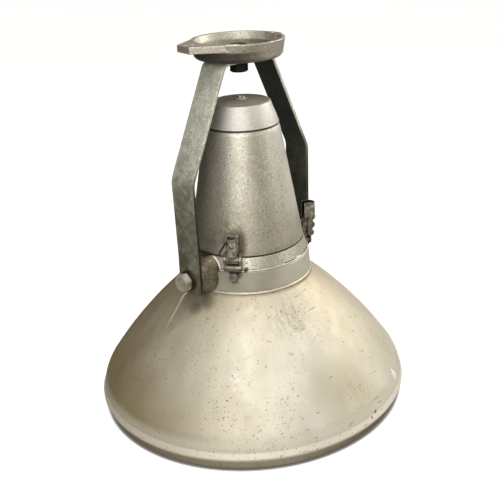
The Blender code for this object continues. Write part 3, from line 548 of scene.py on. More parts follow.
def flared_boss(name, sign):
    """The boss: a cone about the tilt axis, with rounded face and a little crown."""
    flare = (32.0 - 23.5) / (115.0 - 88.0)
    outline = [(0, 81.0), (23.5 + flare * 34.0, 81.0), (23.5, 115.0, 1.6), (0, 115.0)]
    place = Matrix.Translation((0, 0, PIVOT_HEIGHT)) @ Matrix.Rotation(sign * math.pi / 2, 4, "Y")
    return lathe(name, rounded(outline, closed=False), 96, place=place)


def root_bead(sign):
    """A raised line where the boss's root meets the ring's outside."""
    points = []
    flare = (32.0 - 23.5) / (115.0 - 88.0)
    for k in range(49):
        turn = math.radians(12 + 156 * k / 48)
        x = 88.0
        for _ in range(12):
            cone = 23.5 + flare * (115.0 - x)
            y, z = cone * math.cos(turn), PIVOT_HEIGHT + cone * math.sin(turn)
            shell = 92.3 - (z - 223.0) / 19.4 * 5.8
            x = math.sqrt(max(shell ** 2 - y ** 2, 60.0 ** 2))
        if 224.2 < z < 241.6:
            points.append((sign * (x + 0.1), y, z))
    runs, run = [], [points[0]]
    for point in points[1:]:
        if (Vector(point) - Vector(run[-1])).length > 12:
            runs.append(run)
            run = []
        run.append(point)
    runs.append(run)
    return [tube("root_bead_%d_%d" % (sign, k), run, 1.0, 10) for k, run in enumerate(runs)]


def build_ring(stuff):
    outline = rounded([(80.0, 223.0, 0.4), (93.4, 223.0, 0.7), (93.3, 224.8, 0.7), (91.5, 225.5, 0.5),
                       (86.6, 242.4, 0.9), (80.0, 242.4, 0.4)])
    ring = lathe("ring_cast", outline, 160)
    low = 172.0
    rooms = [[(0, low), (97.2, low), (97.2, 222.9), (0, 222.9)],
             [(0, low), (83.0, low), (83.0, 262.4), (0, 262.4)],
             [(71.0, 242.0), (130, 242.0), (130, 257.4), (71.0, 257.4)],
             [(0, low - 30), (150, low - 30), (150, 146), (100, 186.5), (97, 191.5), (0, 191.5)]]
    for name, sign in (("left", -1), ("right", 1)):
        boss = flared_boss("boss", sign)
        tools = [lathe("room", room, 128) for room in rooms]
        tools.append(bar("bore", 8.3, (sign * 86, 0, PIVOT_HEIGHT), (sign * 120, 0, PIVOT_HEIGHT), 64))
        cut(boss, *tools)
        weld(ring, boss)
    for angle in (213.0, 333.0, 93.0):
        turn = Matrix.Rotation(math.radians(angle), 4, "Z")
        tab = prism("tab", [(86, 14.5), (94.2, 15.4), (94.4, 16.8), (86, 19.0)], 223.6, 229.5, turn)
        weld(ring, tab)
    cast(ring, 0.65, 3)
    beads = root_bead(-1) + root_bead(1)
    # the root beads take the pale bead material, a painted highlight
    for bead in beads:
        bead.data.polygons.foreach_set("material_index", [1] * len(bead.data.polygons))
    join(ring, *beads)
    ring.data.shade_smooth()
    stand_for(ring, "suspension_ring", stuff["ring_cast"], stuff["bead_cast_highlight"])


def build_housing(stuff):
    outline = rounded([(81.0, 242.55, 0.2), (84.2, 242.55, 0.2), (84.2, 243.15, 0.2), (81.0, 243.15, 0.2)])
    stand_for(lathe("seam_seal", outline, 128), "body_seal", stuff["rubber"])
    outline = rounded([(81.0, 243.3, 0.3), (86.2, 243.3, 1.0), (58.6, 408.6, 8.0), (57.5, 415.0, 6.0),
                       (55.8, 421.0, 1.2), (44.0, 421.0, 0.5), (44.0, 417.0, 0.5), (54.2, 407.0, 4.0),
                       (82.2, 248.3, 3.0), (81.0, 246.3, 0.5)], steps=6)
    wall = []
    for (r, z), (r2, z2) in zip(outline, outline[1:] + outline[:1]):
        wall.append((r, z))
        if abs(z2 - z) > 60:
            wall += [(r + (r2 - r) * k / 16, z + (z2 - z) * k / 16) for k in range(1, 16)]

    def uneven(r, z, angle, index):
        if 250 < z < 405 and r > 58:
            return r - 0.18 * (0.5 + 0.5 * wobble(angle, z * 1.3, 3.0, 1.0)), z
        return r, z

    body = lathe("housing_cast", wall, 192, uneven)
    lugs = []
    for sign in (-1, 1):
        lug = block("lug", (sign * 64 - 9, -9, 304.4), (sign * 64 + 9, 9, 318.1))
        cut(lug, bar("hole", 2.3, (sign * 61, 0, 306.4), (sign * 61, 0, 325), 32))
        cut(lug, lathe("outside", [(71.5, 300), (99, 300), (99, 322), (71.5, 322)], 96))
        lugs.append(soften(lug, 0.5))
    join(body, *lugs)
    stand_for(body, "housing_body", stuff["body_cast"])


def build_cap(stuff):
    outline = rounded([(45.0, 421.15, 0.3), (55.2, 421.15, 0.5), (55.2, 422.45, 0.5), (45.0, 422.45, 0.3)])
    stand_for(lathe("cap_ring_seal", outline, 128), "cap_seal", stuff["rubber"])
    outline = rounded([(56.4, 422.6, 0.5), (44.5, 455.2, 1.0), (43.4, 456.0, 0.8), (22.0, 457.6, 30.0),
                       (10.4, 458.2, 1.5), (8.6, 459.4, 0.8), (7.6, 461.5, 0.5), (4.6, 461.5, 0.3),
                       (4.6, 453.5, 0.3), (39.2, 451.0, 2.0), (51.4, 426.6, 1.0), (45.0, 426.6, 0.4),
                       (45.0, 422.6, 0.3)], steps=5)
    stand_for(lathe("cap_turned", outline, 192), "housing_cap", stuff["satin_cast"])
    outline = rounded([(2.8, 449.5, 0.2), (4.3, 449.5, 0.3), (4.3, 461.7, 0.2), (6.4, 461.75, 0.3),
                       (6.0, 463.2, 0.5), (2.8, 463.2, 0.5)], steps=3)
    stand_for(lathe("gland", outline, 48), "cable_bush", stuff["brass"])


# ---------------------------------------------------------------- inside

def screw_outline(low, head_low, head_radius, radius, pitch=0.8):
    """A pan-head screw pointing down, with a rounded head; the groove is cut afterwards."""
    return rounded([(0, low), (radius * 0.7, low), (radius, low + 0.6), (radius, head_low),
                    (head_radius, head_low, 0.3), (head_radius, head_low + 1.2, 0.9),
                    (head_radius * 0.4, head_low + 2.2, 1.5), (0, head_low + 2.3)], closed=False)


def build_neck(stuff):
    base, rib = 184.4, 180.4
    outline = rounded([(66.0, base, 0.5), (71.5, base, 0.4), (71.5, rib, 0.5), (74.0, rib, 0.5),
                       (74.0, rib + 2.4, 0.3), (76.0, rib + 2.4, 0.3), (76.0, rib, 0.5), (78.5, rib, 0.5),
                       (78.5, base, 0.4), (90.5, base, 0.5), (90.5, 187.2, 0.3), (66.0, 187.2, 0.3)])
    ring = lathe("neck_spinning", outline, 144)
    for k in range(6):
        turn = Matrix.Rotation(math.radians(20 + 60 * k), 4, "Z")
        cut(ring, block("slot", (69.8, -2.2, rib - 1), (80.2, 2.2, base - 0.02), turn))
    for k in range(3):
        angle = math.radians(60 + 120 * k)
        x, y = 84.5 * math.cos(angle), 84.5 * math.sin(angle)
        cut(ring, bar("hole", 2.4, (x, y, base - 2), (x, y, 190), 32))
        head = rounded([(0, 187.2), (2.0, 187.2, 0.2), (2.0, 184.1), (4.0, 184.1, 0.3),
                        (4.0, 183.4, 1.2), (1.6, 181.8, 1.0), (0, 181.8)], closed=False)
        screw = lathe("neck_fixing_%d" % (k + 1), head, 40, place=Matrix.Translation((x, y, 0)))
        turn = Matrix.Translation((x, y, 0)) @ Matrix.Rotation(angle + 0.9 * k, 4, "Z")
        cut(screw, block("groove", (-5, -0.45, 181.0), (5, 0.45, 182.7), turn))
        stand_for(screw, "neck_screw_%d" % (k + 1), stuff["bright_steel"])
    stand_for(ring, "neck_ring", stuff["mirror"])


def build_funnel(stuff):
    sheet, base = 1.2, 194.3
    outer = [(84.0, base, 0.3), (84.0, base + sheet, 0.3)]
    inner = []
    previous = base
    for radius, height in ((60.0, 210.0), (46.0, 228.0), (36.0, 246.0)):
        outer += [(radius + sheet, previous + sheet, 0.8), (radius + sheet, height + sheet, 1.6)]
        inner += [(radius, previous, 1.6), (radius, height, 0.8)]
        previous = height
    del outer[-1]
    del inner[-1]
    outline = outer + [(36.0 + sheet, 246.0, 0.3), (36.0, 246.0, 0.3)] + inner[::-1]
    stand_for(lathe("funnel_pressing", rounded(outline), 144), "neck_funnel", stuff["mirror"])


def build_lampholder(stuff):
    outline = rounded([(21.3, 240.0, 1.2), (32.0, 240.0, 2.2), (32.0, 296.0, 1.5), (29.0, 300.0, 1.5),
                       (29.0, 318.0, 1.0), (4.5, 318.0, 0.4), (4.5, 298.0, 0.4), (21.3, 298.0, 1.0)])
    stand_for(lathe("holder_porcelain", outline, 128), "lampholder_body", stuff["ceramic"])
    inside = [(19.9, 244.0 + 44.0 * k / 66) for k in range(67)]
    outside = [(21.0, z) for _, z in inside]

    def threaded(r, z, angle, index):
        wave = math.sin(2 * math.pi * z / 6.35 - angle)
        fade = min(1.0, (z - 244.0) / 3, (288.0 - z) / 3)
        return r - 0.45 + 0.42 * wave * max(fade, 0.0) + (0.0 if r > 20.5 else -0.2), z

    shell = lathe("holder_shell", inside + outside[::-1], 96, threaded)
    stand_for(shell, "lampholder_shell", stuff["brass"])
    outline = rounded([(0, 290.0), (5.6, 290.2, 1.5), (7.5, 292.5, 0.8), (7.5, 295.0, 0.5),
                       (3.2, 295.0, 0.4), (3.2, 314.0, 0.5), (0, 314.0)], closed=False)
    stand_for(lathe("contact_stud", outline, 64), "lampholder_contact", stuff["brass"])


def build_bracket(stuff):
    corner = rounded([(-66.5, -13, 3), (66.5, -13, 3), (66.5, 13, 3), (-66.5, 13, 3)], steps=6)
    bracket = prism("bracket_strip", corner, 318.4, 321.4)
    for sign, side in ((-1, "left"), (1, "right")):
        cut(bracket, bar("hole", 2.4, (sign * 61, 0, 316), (sign * 61, 0, 324), 32))
        screw = lathe("bracket_fixing_" + side, screw_outline(307.4, 321.7, 4.2, 2.0), 40,
                      place=Matrix.Translation((sign * 61, 0, 0)))
        cut(screw, block("groove", (sign * 61 - 5, -0.45, 323.2), (sign * 61 + 5, 0.45, 326)))
        stand_for(screw, "bracket_screw_" + side, stuff["bright_steel"])
    stand_for(soften(bracket, 0.4), "lampholder_bracket", stuff["galvanised_inside"])
    outline = rounded([(0, 321.7), (4.0, 321.7, 0.3), (4.0, 322.9, 0.7), (1.6, 324.1, 1.0), (0, 324.2)],
                      closed=False)
    earth = lathe("earth_fixing", outline, 40, place=Matrix.Translation((40, 0, 0)))
    cut(earth, block("groove", (35, -0.45, 323.1), (45, 0.45, 326)))
    stand_for(earth, "earth_screw", stuff["brass"])
    base = block("terminal_moulding", (-22, -9, 321.7), (22, 9, 338.4))
    cut(base, *[bar("entry", 2.6, (x, 4.0, 330.4), (x, 9.8, 330.4), 24) for x in (-12, 12)])
    cut(base, *[bar("well", 3.0, (x, 0, 334.0), (x, 0, 339.5), 24) for x in (-12, 0, 12)])
    cut(base, *[block("split", (x - 0.5, -9.5, 331.4), (x + 0.5, 9.5, 339)) for x in (-6, 6)])
    stand_for(soften(base, 0.5), "terminal_block", stuff["ceramic"])
    for name, x in (("lead_live", -12), ("lead_neutral", 12)):
        path = spline([(x, 9.4, 330.4), (x, 14, 330.2), (x, 19.5, 328.5), (x, 22.6, 324.2),
                       (x, 23.4, 320), (x, 23.5, 318.5 + 0.8)], 6)
        stand_for(tube(name + "_wire", path, 1.55, 16), name, stuff["insulation"])


# ---------------------------------------------------------------- yoke and its fastenings

def rounded_path(corners):
    """Points along straight runs with rounded corners; each corner is (x, z, bend radius)."""
    points = [Vector(corners[0][:2])]
    for before, corner, after in zip(corners, corners[1:], corners[2:]):
        here = Vector(corner[:2])
        arrive = (here - Vector(before[:2])).normalized()
        leave = (Vector(after[:2]) - here).normalized()
        turn = arrive.angle_signed(leave)
        reach = corner[2] * math.tan(abs(turn) / 2)
        steps = max(3, round(abs(math.degrees(turn)) / 4))
        begin = here - arrive * reach
        normal = Vector((arrive.y, -arrive.x)) * math.copysign(1.0, turn)
        centre = begin + normal * corner[2]
        for k in range(steps + 1):
            points.append(centre + Matrix.Rotation(-turn * k / steps, 2) @ (begin - centre))
    points.append(Vector(corners[-1][:2]))
    return points


def yoke_stations():
    """(centre, half width, half thickness) along the bar, with blunt rounded ends."""
    right = [(117.9, PIVOT_HEIGHT, 0), (117.9, PIVOT_HEIGHT + 30, 90), (121.9, 360.7, 30),
             (48.7, 519.2, 12)]
    line = rounded_path([(-x, z, bend) for x, z, bend in right] + right[::-1])
    stations = [(point, 22.5, 2.5) for point in line]
    for step in range(9):
        swing = math.radians(90 * step / 8)
        drop = Vector((0, 6.0 - 21.0 - 5.9 * math.sin(swing)))
        half = 22.5 - 6.0 * (1 - math.cos(swing))
        thick = 2.5 if step < 7 else 2.5 - 0.45 * (step - 6)
        stations.insert(0, (line[0] + drop, half, thick))
        stations.append((line[-1] + drop, half, thick))
    return stations


def build_yoke(stuff):
    bm = bmesh.new()
    loops = []
    stations = yoke_stations()
    for k, (point, half, thick) in enumerate(stations):
        before = stations[max(k - 1, 0)][0]
        after = stations[min(k + 1, len(stations) - 1)][0]
        along = (after - before).normalized()
        side = Vector((-along.y, along.x))
        section = rounded([(-half, -thick, 1.1), (half, -thick, 1.1), (half, thick, 1.1),
                           (-half, thick, 1.1)], steps=4)
        loop = []
        for y, t in section:
            flat = point + side * t
            loop.append(bm.verts.new((flat.x, y, flat.y)))
        loops.append(loop)
    for first, second in zip(loops, loops[1:]):
        for k in range(len(first)):
            after = (k + 1) % len(first)
            bm.faces.new((first[k], first[after], second[after], second[k]))
    bm.faces.new(loops[0])
    bm.faces.new(loops[-1])
    yoke = to_object("yoke_bar", bm)
    for sign in (-1, 1):
        cut(yoke, bar("hole", 8.3, (sign * 105, 0, PIVOT_HEIGHT), (sign * 128, 0, PIVOT_HEIGHT), 64))
    cut(yoke, bar("hole", 8.3, (0, 0, 510), (0, 0, 526), 64))
    yoke.data.shade_smooth()
    yoke.data.set_sharp_from_angle(angle=math.radians(40))
    stand_for(yoke, "yoke", stuff["galvanised"])


def washer(name, inner, outer, low, high, edge, place=Matrix.Identity(4)):
    outline = rounded([(inner, low, edge * 0.6), (outer, low, edge), (outer, high, edge),
                       (inner, high, edge * 0.6)])
    return lathe(name, outline, 96, place=place)


def split_washer(name, inner, outer, low, high, place):
    """A spring washer: a ring cut at one place, its ends sprung slightly apart."""
    section = rounded([(inner, low, 0.3), (outer, low, 0.5), (outer, high - 0.7, 0.5),
                       (inner, high - 0.7, 0.3)], steps=3)
    bm = bmesh.new()
    loops = []
    for k in range(91):
        turn = math.radians(125 + 352 * k / 90)
        rise = 0.7 * k / 90
        loops.append([bm.verts.new((r * math.cos(turn), r * math.sin(turn), z + rise)) for r, z in section])
    for first, second in zip(loops, loops[1:]):
        for k in range(len(first)):
            after = (k + 1) % len(first)
            bm.faces.new((first[k], first[after], second[after], second[k]))
    bm.faces.new(loops[0])
    bm.faces.new(loops[-1])
    return to_object(name, bm, place)


def hexagonal(angle, across):
    """Distance from the axis to the side of a hexagon whose corners are slightly worn."""
    inside = math.radians((math.degrees(angle) % 60.0) - 30.0)
    return min(across / 2 / math.cos(inside), across / math.sqrt(3) - 0.22)


def hex_solid(name, across, low, high, bore=0.0, both=False, place=Matrix.Identity(4), turn=0.0):
    """A forged hexagon with chamfered corners on top, or on both faces."""
    chamfer = across / 2 * 0.94

    def hexed(r, z, angle, index):
        if r < across / 2 - 1e-6:
            return r, z
        reach = hexagonal(angle - turn, across)
        drop = (reach - chamfer) * 0.55
        if z > high - 1e-3:
            return reach, high - drop
        if both and z < low + 1e-3:
            return reach, low + drop
        return reach, z

    wide = across / 2
    steps = [(chamfer, high), (wide, high), (wide, high - 3.0), (wide, low + 3.0)]
    if both:
        steps += [(wide, low), (chamfer, low)]
    else:
        steps += [(wide, low + 0.01), (wide - 0.5, low)]
    if bore:
        outline = [(bore, high - 0.6), (bore + 0.6, high)] + steps + [(bore + 0.6, low), (bore, low + 0.6)]
    else:
        outline = [(0, high - 0.25), (7.0, high - 0.25), (7.8, high)] + steps + [(0, low)]
    return lathe(name, outline, 144, hexed, place, sharp=18.0)


def threaded_bar(name, radius, low, high, pitch=2.0, place=Matrix.Identity(4)):
    count = max(12, round((high - low) / pitch * 8))
    outline = [(0, low), (radius - 1.2, low)]
    outline += [(radius, low + 0.6 + (high - low - 1.2) * k / count) for k in range(count + 1)]
    outline += [(radius - 1.2, high), (0, high)]

    def helix(r, z, angle, index):
        if r < radius - 0.5:
            return r, z
        wave = math.acos(math.cos(2 * math.pi * z / pitch - angle)) / math.pi
        return r - 0.9 * wave, z

    return lathe(name, outline, 72, helix, place)


def build_pivots(stuff):
    for side, sign in (("left", -1), ("right", 1)):
        place = Matrix.Translation((0, 0, PIVOT_HEIGHT)) @ Matrix.Rotation(sign * math.pi / 2, 4, "Y")
        flat = washer("pivot_flat_washer_" + side, 8.3, 15.0, 120.7, 123.7, 0.6, place)
        stand_for(flat, "pivot_washer_" + side, stuff["dark_steel"])
        spring = split_washer("pivot_spring_washer_" + side, 8.3, 12.6, 124.0, 127.6, place)
        stand_for(spring, "pivot_lock_washer_" + side, stuff["dark_steel"])
        turn = math.radians(-12 if sign < 0 else 8)
        head = hex_solid("pivot_screw_" + side, 24.0, 127.9, 137.9, place=place, turn=turn)
        shank = threaded_bar("shank", 8.0, 99.0, 128.4, place=place)
        stand_for(join(head, shank), "pivot_bolt_" + side, stuff["bolt_steel"])
    path = spline([(-133, -6, 198.4), (-136, -3.6, 195.6), (-139, 0, 187.4), (-143.4, 6, 174.0),
                   (-149.6, 12, 159.4), (-155, 17, 146.6)], 8)
    stand_for(tube("hanging_wire", path, 1.7, 16), "safety_wire", stuff["wire_steel"])


def build_plate_bolt(stuff):
    stand_for(washer("plate_flat_washer", 8.3, 15.0, 528.3, 531.3, 0.5), "plate_washer_upper",
              stuff["bright_steel"])
    stand_for(washer("bridge_washer", 8.3, 13.6, 513.4, 516.4, 0.5), "plate_washer_lower",
              stuff["bright_steel"])
    head = hex_solid("plate_screw", 24.0, 531.6, 541.6, turn=math.radians(14))
    shank = threaded_bar("shank", 8.0, 499.3, 532.0)
    stand_for(join(head, shank), "plate_bolt", stuff["dark_steel"])
    nut = hex_solid("bridge_nut", 24.0, 500.1, 513.1, bore=8.3, both=True, turn=math.radians(26))
    stand_for(nut, "plate_nut", stuff["black_steel_and_shade"])


def ear(turn):
    """The long blunt ear; its inner edge lies inside the dish's wall."""
    corner_distance = math.hypot(94.0, 16.0)
    corner_angle = math.degrees(math.atan2(16.0, 94.0))
    root = 67.4
    spread = corner_angle + math.degrees(math.acos(root / corner_distance))
    touch = math.radians(spread)
    upper = (root * math.cos(touch), root * math.sin(touch))
    points = [(94.0, -16.0, 1.2), (94.0, 16.0, 1.2), upper]
    points += arc((0, 0), 66.0, spread, -spread, 24) + [(upper[0], -upper[1])]
    outline = [(-x, -y) for x, y in rounded(points)]
    return prism("ear", outline, 539.4, 550.1, turn)


def build_plate(stuff):
    turn = Matrix.Rotation(math.radians(-10.0), 4, "Z")
    outline = [(8.3, 522.0), (57.5, 522.0)] + arc((57.5, 531.0), 9.0, -80, 0, 8)
    outline += [(69.9, 549.6), (69.2, 550.4), (64.8, 550.4), (64.0, 549.6), (60.5, 540.0), (59.8, 533.5)]
    outline += arc((54.8, 533.0), 5.0, 0, -90, 6)[1:] + [(8.3, 528.0)]
    plate = lathe("plate_cast", outline, 128)
    lug = rounded([(73.4, -11.0, 3), (73.4, 11.0, 3), (66.5, 18.0), (60.5, 14.0, 2), (60.5, -14.0, 2),
                   (66.5, -18.0)])
    foot = rounded([(65.0, -13.0, 2), (65.0, 13.0, 2), (59.5, 13.0, 2), (59.5, -13.0, 2)])
    near = Matrix.Rotation(math.radians(-141.0), 4, "Z") @ Matrix.Translation((66.6, 0, 0))
    pad = rounded([(-2.4, -9.0, 1), (2.6, -9.0, 1), (2.6, 9.0, 1), (-2.4, 9.0, 1)])
    weld(plate, ear(turn), prism("lug", lug, 529.0, 550.1, turn), prism("foot", foot, 526.0, 546.0, turn),
         prism("pad", pad, 547.4, 551.5, near))
    ends = arc((-77.0, 0), 4.5, -90, 90, 16) + arc((-87.0, 0), 4.5, 90, 270, 16)
    cut(plate, prism("slot", ends, 536, 554, turn), bar("hole", 3.6, (67, 0, 518), (67, 0, 556), 40, turn))
    cast(plate, 0.7, 4)
    stand_for(plate, "mounting_plate", stuff["plate_cast"])


# ---------------------------------------------------------------- latches

LEVER_PIVOT = (102.0, 246.0)
BAIL_PIVOT = (100.0, 254.0)
BARREL = (101.5, 233.4)
LATCH_ANGLES = (213.0, 333.0, 93.0)


def latch_frame(angle):
    """Latch coordinates (outwards, along the rim, up) into the part's frame."""
    return Matrix.Rotation(math.radians(angle), 4, "Z")


def slab(name, outline, low_y, high_y, place):
    """An (x, z) outline raised along y."""
    upright = Matrix.Rotation(math.pi / 2, 4, "X")
    return prism(name, outline, -high_y, -low_y, place @ upright)


def cross(name, centre, radius, low_y, high_y, place, steps=40, round_end=0.0):
    x, z = centre
    return bar(name, radius, (x, low_y, z), (x, high_y, z), steps, place, round_end)


def latch_base(number, place, stuff):
    low, high = 226.0, 241.9
    inner_low = 92.3 - (low - 223.0) / 19.4 * 5.8 + 0.6
    inner_high = 92.3 - (high - 223.0) / 19.4 * 5.8 + 0.6
    plate = [(inner_low, low), (inner_low + 2.5, low), (inner_high + 4.5, high), (inner_high, high)]
    base = slab("latch_seat_%d" % number, plate, -8.8, 8.8, place)
    x, z = LEVER_PIVOT
    cheek = arc(LEVER_PIVOT, 6.3, -110, 110, 28)
    cheek += [(x - 12, z + 3), (x - 12.4, z - 6), (x - 13.4, z - 11), (x - 9.5, z - 13)]
    for low_y, high_y in ((6.3, 8.5), (-8.5, -6.3)):
        weld(base, slab("cheek", cheek, low_y, high_y, place))
    cut(base, cross("bore", LEVER_PIVOT, 2.3, -12, 12, place, 32))
    rivets = []
    for y in (-4.5, 4.5):
        start = Vector((92.6, y, 230.0))
        rivets.append(bar("rivet", 1.7, start, start + Vector((2.2, 0, 0.6)), 24, place, 0.8))
    join(soften(base, 0.35), *rivets)
    stand_for(base, "latch_base_%d" % number, stuff["zinc"])
    pin = cross("latch_pivot_%d" % number, LEVER_PIVOT, 2.0, -9.0, 9.0, place, 32, 0.5)
    stand_for(pin, "latch_pin_%d" % number, stuff["bright_steel"])


def latch_lever(number, place, stuff):
    x, z = LEVER_PIVOT
    half, wall = 7.5, 1.4
    back = -8.0
    outer = arc((4.0, 0), half, -90, 90, 24)
    inner = arc((4.0, 0), half - wall, 90, -90, 24)
    section = [(back, -half)] + outer + [(back, half), (back, half - wall)] + inner + [(back, wall - half)]
    here = place @ Matrix.Translation((x, 0, z))
    lever = prism("latch_handle_%d" % number, section, 6.8, 34.5, here)
    # the mouth is trimmed aslant, so that the channel ends in a tongue against the housing
    trim = [(x - 9, z + 36), (x + 14, z + 36), (x + 14, z + 33.2), (x + 2, z + 34.6), (x - 9, z + 34.6)]
    cut(lever, slab("trim", trim, -9, 9, place))
    reach = x + 4.0 + half - wall
    web_shape = [(x - 5.5, z - 2), (x + 3.6, z - 2), (x + 5.6, z + 4), (reach, z + 8.5), (reach, z + 13),
                 (x - 5.5, z + 13)]
    gusset = [(x + 2, z + 8.5), (x + 7, z + 8.5), (x + 7, z + 13), (x + 2, z + 13)]
    weld(lever, slab("web", web_shape, -6.0, 6.0, place),
         cross("knuckle", LEVER_PIVOT, 6.3, -6.0, 6.0, place), slab("gusset", gusset, -6.6, 6.6, place))
    cut(lever, cross("bore", LEVER_PIVOT, 2.3, -12, 12, place, 32),
        cross("bail_holes", BAIL_PIVOT, 1.9, -12, 12, place, 32))
    soften(lever, 0.3)
    back_home = place.inverted()

    def hollow(face):
        at = back_home @ face.center
        turned = (back_home.to_3x3() @ face.normal)
        inward = at.y * turned.y < -0.0005 or turned.x < -0.5
        return abs(at.y) < 6.2 * MM and at.z > (z + 5) * MM and inward

    # a dark plate across the channel just below its mouth, standing for the shade inside
    shade_plug = prism("shade_plug", [(back + 2, wall - half)] + inner[::-1] + [(back + 2, half - wall)], 30.5, 32.0, here)
    shade_plug.data.polygons.foreach_set("material_index", [1] * len(shade_plug.data.polygons))
    # painted shade: the channel's inner faces take the near-black material
    paint(lever, 1, hollow)
    # the knuckle keeps the plain latch zinc; the lever above it is paler, partly a painted highlight
    paint(lever, 2, lambda face: (back_home @ face.center).z < (z + 7) * MM)
    join(lever, shade_plug)
    stand_for(lever, "latch_lever_%d" % number, stuff["lever_zinc_highlight"], stuff["black_steel_and_shade"], stuff["zinc"])


def latch_bail(number, place, stuff):
    x, z = BARREL
    bail = cross("latch_link_%d" % number, BARREL, 5.2, -13.0, 13.0, place, 48, 0.9)
    arm = arc(BAIL_PIVOT, 2.8, 40, 180, 12) + [(x - 4.6, z), (x + 2.5, z), (x + 2.5, z + 6.5)]
    arm += arc(LEVER_PIVOT, 6.2, -70, 60, 24)
    for low_y, high_y in ((9.4, 12.8), (-12.8, -9.4)):
        weld(bail, slab("arm", arm, low_y, high_y, place))
    for low_y, high_y in ((6.4, 10.4), (-10.4, -6.4)):
        weld(bail, cross("stub", BAIL_PIVOT, 1.6, low_y, high_y, place, 24))
    out, lip = 101.8, 216.9
    hook = [(out, z - 3), (out, lip), (out - 4.6, lip), (out - 4.6, lip - 2.2), (out + 0.8, lip - 3.4),
            (out + 2.8, lip - 1.8), (out + 2.4, lip + 1.5), (out + 2.2, z - 3)]
    weld(bail, slab("hook", hook, -5.0, 5.0, place))
    # the hook's front is a tongue with a round end
    tongue = [(-5.9, 224.2), (-5.9, 220.0)] + arc((0, 219.4), 5.9, 180, 360, 20) + [(5.9, 224.2)]
    upright = Matrix(((0, 0, 1, 0), (1, 0, 0, 0), (0, 1, 0, 0), (0, 0, 0, 1)))
    weld(bail, prism("tongue", tongue, out + 0.1, out + 2.6, place @ upright))
    soften(bail, 0.35)
    back_home = place.inverted()
    # painted shade: the bail's ears beside the lever take the dark steel
    paint(bail, 1, lambda face: (back_home @ face.center).z > (LEVER_PIVOT[1] + 5.0) * MM)
    # painted shadow: the band between the barrel and the tongue takes the dark steel
    paint(bail, 1, lambda face: 220 * MM < (back_home @ face.center).z < 228.4 * MM
          and abs((back_home @ face.center).y) < 5.3 * MM and (back_home @ face.center).x < 104.2 * MM)
    stand_for(bail, "latch_bail_%d" % number, stuff["zinc"], stuff["dark_steel"])


def latch_keeper(number, place, stuff):
    low, top, reach = 207.3, 222.3, 101.3
    inside = 96.2 - (low - 189.7) / 33.0 * 2.4 + 0.4
    nose = top - 5.0
    outline = rounded([(inside, low, 0.5), (inside + 1.6, low, 0.8), (inside + 1.6, nose, 0.5),
                       (reach, nose, 1.6), (reach, top, 2.4), (inside, top, 0.3)])
    stand_for(soften(slab("latch_strike_%d" % number, outline, -4.5, 4.5, place), 0.35),
              "latch_keeper_%d" % number, stuff["zinc"])


def build_latches(stuff):
    for number, angle in enumerate(LATCH_ANGLES, 1):
        place = latch_frame(angle)
        latch_base(number, place, stuff)
        latch_lever(number, place, stuff)
        latch_bail(number, place, stuff)
        latch_keeper(number, place, stuff)
    points = []
    for aside, z in ((-9.8, 268.0), (-14.5, 262.0), (-19.0, 255.5), (-22.5, 249.5), (-24.0, 245.5)):
        shell = 86.2 - (z - 242.4) / 178.6 * 28.0 + 1.6
        points.append((math.sqrt(shell ** 2 - aside ** 2), aside, z))
    wire = tube("latch_spring_wire", spline(points, 6), 0.8, 12, latch_frame(LATCH_ANGLES[0]))
    stand_for(wire, "latch_wire", stuff["black_steel_and_shade"])


# ---------------------------------------------------------------- materials

def speckles(t, scale, size, place=None, keep=0.5):
    """Small round spots, 1 on a spot; keep is the share of cells that carry one."""
    distance = t.cells(scale, place)
    chance = t.cells(scale, place, output="Color")
    red = t.split(chance)[0]
    spot = t.range(distance, size * 0.55, size, 1.0, 0.0, smooth=True)
    return t.math("MULTIPLY", spot, t.math("LESS_THAN", red, keep))


def scratches(t, scale, stretch, width, turn, keep=0.25):
    """Short thin marks, 1 on a mark."""
    mapped = t.node("ShaderNodeMapping")
    t.feed(mapped.inputs["Vector"], t.place)
    mapped.inputs["Rotation"].default_value = turn
    mapped.inputs["Scale"].default_value = (scale, scale * stretch, scale * stretch)
    distance = t.cells(1.0, mapped.outputs[0])
    chance = t.split(t.cells(1.0, mapped.outputs[0], output="Color"))[1]
    mark = t.range(distance, width * 0.4, width, 1.0, 0.0, smooth=True)
    return t.math("MULTIPLY", mark, t.math("LESS_THAN", chance, keep))


def spot_at(t, centre, radius, soft=0.4, squash=(1, 1, 1)):
    """1 near a point of the part (millimetres), falling to 0."""
    away = t.vector("SUBTRACT", t.place, tuple(c * MM for c in centre))
    away = t.vector("MULTIPLY", away, squash)
    return t.range(t.vector("LENGTH", away), radius * MM * soft, radius * MM, 1.0, 0.0, smooth=True)


